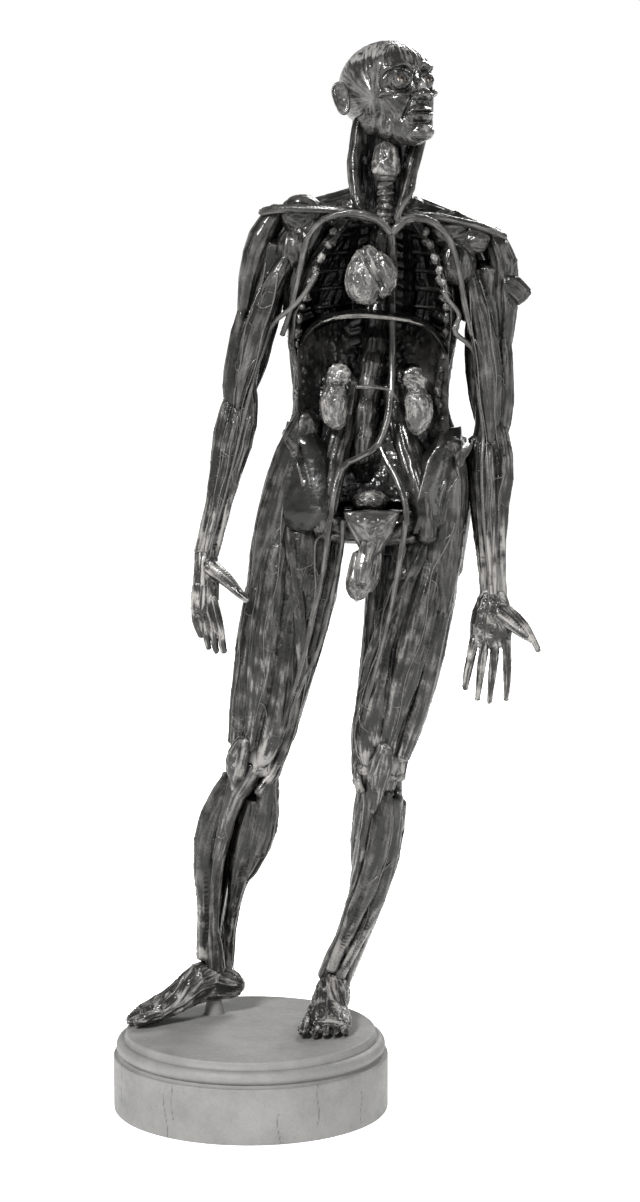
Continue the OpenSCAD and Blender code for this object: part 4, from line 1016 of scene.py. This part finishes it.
def face_fibres(points, along):
    """Rings round eyes and mouth, straps on the cheeks, a fan at the temples, upright brow."""
    local = (points - head_at) @ head_frame
    total = along[:, :, None] * along[:, None, :] * 0.15

    def add(direction, weight):
        nonlocal total
        direction = direction / np.maximum(np.linalg.norm(direction, axis=1), 1e-6)[:, None]
        total = total + direction[:, :, None] * direction[:, None, :] * weight[:, None, None]

    front = np.clip((local[:, 1] - 10) / 6, 0, 1)
    for side in (-1, 1):
        rel = local - (side * eye_side, eye_fore, eye_up)
        circle = np.stack([-rel[:, 2], rel[:, 0] * 0, rel[:, 0]], 1) @ head_frame.T
        add(circle, 2.5 * np.exp(-(np.hypot(rel[:, 0], rel[:, 2]) / 8.5) ** 4) * front)
        strap = np.tile(np.array([-side * 8, 8, -13.0]) @ head_frame.T, (len(points), 1))
        add(strap, swell(local, (side * 13, 20, -11), (5, 9, 6), 1.5))
        fan = (local - (side * 22, 12, -8)) @ head_frame.T
        add(fan, swell(local, (side * 24, 0, 8), (8, 14, 13), 1.5))
        chew = np.tile(np.array([side * 1, -3, -14.0]) @ head_frame.T, (len(points), 1))
        add(chew, swell(local, (side * 18, 8, -17), (6, 8, 9), 1.2))
    rel = local - (0, 28, -18.5)
    add(np.stack([-rel[:, 2] * 1.5, rel[:, 0] * 0, rel[:, 0]], 1) @ head_frame.T,
        2.5 * np.exp(-(np.hypot(rel[:, 0] * 0.8, rel[:, 2] * 1.2) / 8.5) ** 4) * front)
    add(np.tile(crown, (len(points), 1)), np.clip((local[:, 2] - 9) / 4, 0, 1) * np.clip((local[:, 1] - 2) / 8, 0, 1))
    return np.linalg.eigh(total)[1][:, :, 2]


def head_pale(points, normals):
    """Pale skull cap, cheekbones, nose, lips and chin."""
    local = (points - head_at) @ head_frame
    cap = np.clip((local[:, 2] - 16) / 6, 0, 0.55)
    bony = sum(swell(local, (side * 15.5, 20, -3), (4, 6, 2.6), 0.75) for side in (-1, 1))
    return cap + bony + swell(local, (0, 31, -4), (2, 5, 6), 0.6) + swell(local, (0, 30, -18.5), (8, 5, 3), 0.35) \
        + swell(local, (0, 30, -30), (6, 5, 4), 0.4)


def head_shade(points, normals):
    """Painted shade in the mouth slit, the nostrils, the grooves round the eyes and under the jaw."""
    local = (points - head_at) @ head_frame
    line = local[:, 2] + 18.4 - 0.012 * local[:, 0] ** 2
    mouth = np.exp(-(line / 0.5) ** 2) * (np.abs(local[:, 0]) < 8) * (local[:, 1] > 20)
    holes = sum(swell(local, (side * 2, 30.5, -11.2), (1.0, 3, 0.9), 1) for side in (-1, 1))
    rings = 0
    for side in (-1, 1):
        rel = local - (side * eye_side, eye_fore, eye_up)
        ring = np.hypot(rel[:, 0] / 1.15, rel[:, 2])
        rings = rings + 0.75 * np.exp(-((ring - 6.6) / 1.4) ** 2) * (local[:, 1] > 14)
    under = np.clip((-30 - local[:, 2]) / 3, 0, 0.6) * (local[:, 1] < 20)
    return mouth + holes + rings + under


head_finish = varnished("varnished_head", 0.0015, 0.018, 0.085, 0.22, grain=0.5, coat=0.8)
flesh("head_cast", ["head"], "figure", "varnished_muscle", head_finish, voxel=0.55, smooth=9, seed=190, fine=0.09,
      bundle=0.1, bundle_cell=1.5, shape=face_relief, aim=face_fibres, pale=head_pale, dark=head_shade,
      extra=head_extra, own_form=True)

ear_boxes = [np.stack([solid.min(0), solid.max(0)]) for solid in islands("ears")]


def ear(side):
    """A shell with a rolled rim, an inner ridge, a deep bowl and a lobe."""
    rings, turns = 30, 72
    front, back = [], []
    for i in range(rings + 1):
        r = i / rings
        for t in np.arange(turns) * 2 * math.pi / turns:
            wide = 5.0 + 1.3 * max(math.sin(t), 0)
            y, z = -math.cos(t) * wide * r, math.sin(t) * 9.5 * r - (1.2 * r if math.sin(t) < -0.6 else 0)
            rim = 1.7 * math.exp(-((r - 0.87) / 0.09) ** 2) * (0.35 + 0.65 * min(1, max(0, 0.75 + math.sin(t + 0.5))))
            ridge = 1.3 * math.exp(-((r - 0.56) / 0.1) ** 2) * max(0, -math.cos(t - 2.6)) ** 0.5
            bowl = -1.9 * math.exp(-(((y - 1.0) / 2.6) ** 2 + ((z + 1.0) / 3.6) ** 2))
            thick = 1.1 * math.sqrt(max(0, 1 - r ** 6))
            front.append((y, z, rim + ridge + bowl + thick))
            back.append((y, z, -thick - 0.9 * (1 - r * r)))
    points = np.array(front + back)
    per = (rings + 1) * turns
    faces = []
    for i in range(rings):
        for j in range(turns):
            a, b = i * turns + j, i * turns + (j + 1) % turns
            faces.append((a, b, b + turns, a + turns))
            faces.append((per + a, per + a + turns, per + b + turns, per + b))
    box = min(ear_boxes, key=lambda b: -side * ((b.mean(0) - head_at) @ left))
    centre = (box.mean(0) - head_at) @ head_frame + (side * 3.6, -1.5, 1)
    out = np.array([side * 0.66, 0.72, 0.03])
    out /= np.linalg.norm(out)
    ahead = np.array([-side * 0.72, 0.66, 0.1])
    ahead -= out * (ahead @ out)
    ahead /= np.linalg.norm(ahead)
    high = np.cross(out, ahead) * side
    local = centre + points[:, :1] * ahead + points[:, 1:2] * high + points[:, 2:] * out
    return head_at + local @ head_frame.T, faces if side > 0 else [f[::-1] for f in faces]


ear_points, ear_faces = [], []
for side in (-1, 1):
    points, faces = ear(side)
    offset = sum(len(p) for p in ear_points)
    ear_faces += [tuple(i + offset for i in f) for f in faces]
    ear_points.append(points)
ears = new_object("ear_shells", np.concatenate(ear_points), ear_faces, "figure", head_finish,
                  ["ears"])
store_paint(ears.data, 0.55, 0, 0.35, 0)


def glass_eye():
    """White glass with a dark iris ring and a black pupil, looking straight ahead."""
    made = material("glass_eye", (0.75, 0.74, 0.7), 0.08, Coat_Weight=1.0, Coat_Roughness=0.03)
    tree = made.node_tree
    gaze = node(tree, "ShaderNodeAttribute", attribute_name="gaze")
    white, black = (0.72, 0.7, 0.66), (0.004,) * 3
    colour = ramp(tree, gaze.outputs["Fac"], [(0.0, white), (0.6, white), (0.62, (0.02, 0.018, 0.015)),
                                              (0.68, (0.16, 0.12, 0.08)), (0.8, (0.1, 0.07, 0.05)), (0.83, black),
                                              (1.0, black)])
    tree.links.new(colour, tree.nodes["Principled BSDF"].inputs["Base Color"])
    return made


eye_points, eye_faces = [], []
for side in (-1, 1):
    points, faces = ball((side * eye_side, eye_fore, eye_up), (eye_r - 0.15,) * 3, 40, 48)
    eye_faces += [tuple(i + len(points) * len(eye_points) for i in f) for f in faces]
    eye_points.append(points)
eye_ball_points = np.concatenate(eye_points)
eyes = new_object("eye_balls", eye_ball_points, eye_faces, "figure", glass_eye(), ["eyes"])
local = (eye_ball_points - head_at) @ head_frame - (0, eye_fore, eye_up)
local[:, 0] = np.abs(local[:, 0]) - eye_side
store(eyes.data, "gaze", 1 - np.arctan2(np.hypot(local[:, 0], local[:, 2]), local[:, 1]) / 1.35)

head_growth = 1.12                                       # the finished head stands proud of its core
for name in ("head_cast", "ear_shells", "eye_balls"):
    mesh = bpy.data.objects[name].data
    grown = eyes_middle + (coordinates(mesh) - eyes_middle) * head_growth
    mesh.vertices.foreach_set("co", (grown * 0.001).ravel())
    mesh.update()

# ---- Arms ----
# Upper arm and forearm are modelled in one with their muscle bellies, which thin to long pale
# tendons at the wrist. The shoulder caps are separate masses laid over the top of each arm.
for side, shift in (("right", 0), ("left", 3)):
    wrist_z = box_mm(side + "_hand")[1][2]
    muscle(side + "_deltoid_flesh", side + "_deltoid", seed=200 + shift)
    muscle(side + "_upper_arm_flesh", side + "_upper_arm", voxel=0.9, seed=206 + shift)
    muscle(side + "_forearm_flesh", side + "_forearm", voxel=0.8, seed=212 + shift, bundle=0.3,
           pale=lambda p, n, z=wrist_z: np.clip(0.2 + (z + 45 - p[:, 2]) / 60, 0.1, 0.85))

# ---- Hands ----
# Thin wired fingers built up in wax, with tendons on the back and a hollow palm.
for side, shift in (("right", 0), ("left", 3)):
    hand_points = coordinates(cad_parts[side + "_hand"].data)
    thumb_tip = hand_points[hand_points[:, 0].argmax()]
    hand_top = hand_points[hand_points[:, 2] > hand_points[:, 2].max() - 3].mean(0)
    heel = hand_top + (thumb_tip - hand_top) * (0.16, 0.3, 0.38)
    thumb = [lump(heel + (thumb_tip - heel) * t, (5.2 - 3.6 * t + 1.1 * math.sin(5.5 * t) * t,) * 3)
             for t in np.linspace(0, 0.88, 16)]
    flesh(side + "_hand_flesh", [side + "_hand"], "figure", "varnished_muscle", foot_finish, voxel=0.55, smooth=4,
          extra=thumb, swell_by=0.4, seed=220 + shift, fine=0.14, bundle=0.25, bundle_cell=1.5,
          pale=lambda p, n: np.full(len(p), 0.35))

# ---- Surface vessels and nerves ----
# Waxed threads laid over the muscles: long trunks down each limb and fine branches across them.
surface = bmesh.new()
for mesh in solid_meshes.values():
    surface.from_mesh(mesh)
tree_of_flesh = BVHTree.FromBMesh(surface)
surface.free()


def on_skin(start, stop, t, angle):
    """The surface point at a fraction of a limb's length and an angle round it, 0 in front."""
    centre = start + (stop - start) * t
    out = np.array([math.sin(angle), -math.cos(angle), 0])
    hit = tree_of_flesh.ray_cast(Vector((centre + out * 45) * 0.001), Vector(-out), 0.06)
    return None if hit[0] is None else np.array(hit[0]) * 1000


def tube(path, radii, sides=8):
    """A round cord along a path, closed at both ends."""
    path = np.asarray(path)
    ahead = np.gradient(path, axis=0)
    ahead /= np.maximum(np.linalg.norm(ahead, axis=1), 1e-9)[:, None]
    reference = np.array([0.31, 0.82, 0.47])
    across = np.cross(ahead, reference)
    across /= np.linalg.norm(across, axis=1)[:, None]
    high = np.cross(ahead, across)
    points = []
    for i in range(len(path)):
        for a in np.arange(sides) * 2 * math.pi / sides:
            points.append(path[i] + radii[i] * (math.cos(a) * across[i] + math.sin(a) * high[i]))
    faces = []
    for i in range(len(path) - 1):
        for j in range(sides):
            a, b = i * sides + j, i * sides + (j + 1) % sides
            faces.append((a, a + sides, b + sides, b))
    faces.append(tuple(range(sides)))
    faces.append(tuple(range(len(path) * sides - 1, (len(path) - 1) * sides - 1, -1)))
    return points, faces


cord_points, cord_faces = [], []


def lay_cord(path, radius):
    """A cord pressed onto the flesh, thinning towards its tip."""
    settled = []
    for point in path:
        hit = tree_of_flesh.find_nearest(Vector(point * 0.001), 0.03)
        if hit[0] is None:
            continue
        settled.append(np.array(hit[0]) * 1000 + np.array(hit[1]) * radius * 0.45)
    if len(settled) < 4:
        return
    settled = np.array(settled)
    for _ in range(2):
        settled[1:-1] = settled[1:-1] * 0.5 + (settled[:-2] + settled[2:]) * 0.25
    radii = np.linspace(radius, radius * 0.45, len(settled))
    radii = radii * (1 + 0.12 * np.sin(np.arange(len(settled)) * 0.9))
    radii[0] = radii[-1] = radii[-1] * 0.5
    points, faces = tube(settled, radii)
    cord_faces.extend(tuple(i + len(cord_points) for i in f) for f in faces)
    cord_points.extend(points)


creep = 1.3                  # step of a creeping branch
curl = 0.35                  # how sharply it wanders


def wander(rng, point, heading, length, radius, depth=0):
    """A branch creeping over the flesh from a point, forking as it goes."""
    path = [point]
    turn_rate = 0
    for i in range(int(length / creep)):
        turn_rate = turn_rate * 0.8 + rng.normal(0, curl * 0.35)
        hit = tree_of_flesh.find_nearest(Vector(path[-1] * 0.001), 0.02)
        if hit[0] is None:
            break
        normal = np.array(hit[1])
        heading = heading - normal * (heading @ normal)
        heading /= max(np.linalg.norm(heading), 1e-6)
        heading = heading * math.cos(turn_rate) + np.cross(normal, heading) * math.sin(turn_rate)
        path.append(path[-1] + heading * creep)
        if depth < 2 and i > 2 and rng.rand() < 0.09:
            side = rng.choice((-1, 1)) * rng.uniform(0.5, 1.1)
            fork = heading * math.cos(side) + np.cross(normal, heading) * math.sin(side)
            wander(rng, path[-1], fork, length * rng.uniform(0.3, 0.6), radius * 0.7, depth + 1)
    lay_cord(path, radius)


def limb_cords(seed, start, stop, lines, branches):
    """Cords down a limb: each line is (angle at the start, angle at the end, from, to, radius)."""
    rng = np.random.RandomState(seed)
    axis = (stop - start) / np.linalg.norm(stop - start)
    for first, last, begin, finish, radius in lines:
        path = []
        sway = rng.uniform(0, 6)
        for t in np.linspace(begin, finish, int(abs(finish - begin) * np.linalg.norm(stop - start) / 2)):
            angle = math.radians(first + (last - first) * (t - begin) / (finish - begin))
            angle += 0.06 * math.sin(t * 17 + sway)
            point = on_skin(start, stop, t, angle)
            if point is not None and (not path or np.linalg.norm(point - path[-1]) < 9):
                path.append(point)
        if len(path) < 6:
            continue
        lay_cord(path, radius)
        for _ in range(branches):
            at = path[rng.randint(2, len(path) - 2)]
            side = rng.choice((-1, 1))
            heading = axis * rng.uniform(0.3, 1) + side * np.cross(axis, (0, -1, 0)) * 0.8 + rng.normal(0, 0.3, 3)
            wander(rng, at, heading, rng.uniform(10, 26), radius * 0.6)


for side, m, seed in (("right", 1, 301), ("left", -1, 331)):      # m turns the angles over on the left
    hip, knee = end_of(side + "_thigh_core", True), end_of(side + "_thigh_core", False)
    ankle = end_of(side + "_calf", False)
    shoulder, elbow = end_of(side + "_upper_arm", True), end_of(side + "_upper_arm", False)
    wrist = end_of(side + "_forearm", False)
    limb_cords(seed, hip, knee, [(20 * m, 75 * m, 0.05, 0.98, 0.85), (-35 * m, -10 * m, 0.0, 0.8, 0.6),
                                 (-80 * m, -60 * m, 0.1, 0.9, 0.6), (180, 170, 0.1, 1.0, 0.8),
                                 (130 * m, 120 * m, 0.15, 0.9, 0.6)], 7)
    limb_cords(seed + 1, knee, ankle, [(70 * m, 60 * m, 0.0, 1.0, 0.75), (-40 * m, -20 * m, 0.15, 1.0, 0.55),
                                       (170, 150 * m, 0.0, 0.95, 0.7), (-110 * m, -95 * m, 0.1, 0.95, 0.55)], 4)
    limb_cords(seed + 2, shoulder, elbow, [(55 * m, 40 * m, 0.1, 1.05, 0.85), (10 * m, 20 * m, 0.2, 1.1, 0.7),
                                           (-45 * m, -20 * m, 0.15, 1.0, 0.6), (90 * m, 70 * m, 0.2, 1.0, 0.6),
                                           (170, 180, 0.2, 1.0, 0.6)], 3)
    limb_cords(seed + 3, elbow, wrist, [(45 * m, 30 * m, 0.0, 1.0, 0.75), (5 * m, 10 * m, 0.0, 1.0, 0.7),
                                        (-30 * m, -15 * m, 0.05, 1.0, 0.6), (100 * m, 80 * m, 0.1, 1.0, 0.55),
                                        (180, 175, 0.1, 1.0, 0.6), (-100 * m, -120 * m, 0.1, 1.0, 0.5)], 2)
for side, toward in (("right", 1), ("left", -1)):
    ends = coordinates(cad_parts["shoulder_vessels"].data)
    ends = ends[(ends[:, 0] - spine_x) * toward < 0]
    start = ends[ends[:, 2] < ends[:, 2].min() + 1.5].mean(0)
    elbow, wrist = end_of(side + "_upper_arm", False), end_of(side + "_forearm", False)
    shoulder = end_of(side + "_upper_arm", True)
    way = [on_skin(shoulder, elbow, t, toward * math.radians(62 - 30 * t)) for t in np.linspace(0.2, 1.0, 34)]
    way += [on_skin(elbow, wrist, t, toward * math.radians(32)) for t in np.linspace(0.05, 1.0, 36)]
    line = np.array([p for p in way if p is not None and np.linalg.norm(p - start) < 190])
    for _ in range(6):
        line[1:-1] = (line[:-2] + 2 * line[1:-1] + line[2:]) / 4
    points, faces = tube(line, np.linspace(1.9, 0.7, len(line)), 12)
    cord_faces.extend(tuple(i + len(cord_points) for i in f) for f in faces)
    cord_points.extend(points)
cords = new_object("surface_cords", cord_points, cord_faces, "figure", vessel_finish)
store_paint(cords.data, 0.6, 0, 0.4, 0)

# ---- Painted shade where the flesh is closed in ----
# Rays from a share of the vertices find how closed in the flesh is round them, and closed places are darkened as
# painted shade.
ray_count = 12
ray_reach = 0.045            # metres
share = 16                   # one vertex in so many is looked at, and its neighbours take after it
golden = math.pi * (3 - math.sqrt(5))
fans = np.array([(math.sqrt(i / ray_count) * math.cos(i * golden), math.sqrt(i / ray_count) * math.sin(i * golden),
                  math.sqrt(1 - i / ray_count)) for i in np.arange(0.5, ray_count)])
for name, mesh in solid_meshes.items():
    points = coordinates(mesh)
    normals = np.empty(len(points) * 3)
    mesh.vertex_normals.foreach_get("vector", normals)
    normals = normals.reshape(-1, 3)
    picked = np.random.RandomState(len(points)).permutation(len(points))[:len(points) // share]
    side_way = np.cross(normals[picked], (0.3, 0.5, 0.81))
    side_way /= np.maximum(np.linalg.norm(side_way, axis=1), 1e-6)[:, None]
    other_way = np.cross(normals[picked], side_way)
    shut = np.zeros(len(points))
    seen = np.zeros(len(points))
    starts = (points[picked] + normals[picked] * 0.7) * 0.001
    for i, at in enumerate(picked):
        rays = fans @ np.stack([side_way[i], other_way[i], normals[at]])
        begin = Vector(starts[i])
        shut[at] = sum(1 for ray in rays if tree_of_flesh.ray_cast(begin, Vector(ray), ray_reach)[0]) / ray_count
        seen[at] = 1
    both = spread(np.stack([shut, seen], 1), neighbours(mesh), 14, 0.3)
    closed = both[:, 0] / np.maximum(both[:, 1], 1e-5)
    # Painted shade: the closed-in share raises the 'dark' value.
    dark = np.empty(len(points))
    mesh.attributes["dark"].data.foreach_get("value", dark)
    mesh.attributes["dark"].data.foreach_set("value", np.maximum(dark, np.clip((closed - 0.3) * 1.5, 0, 0.92))
                                             .astype(np.float32))
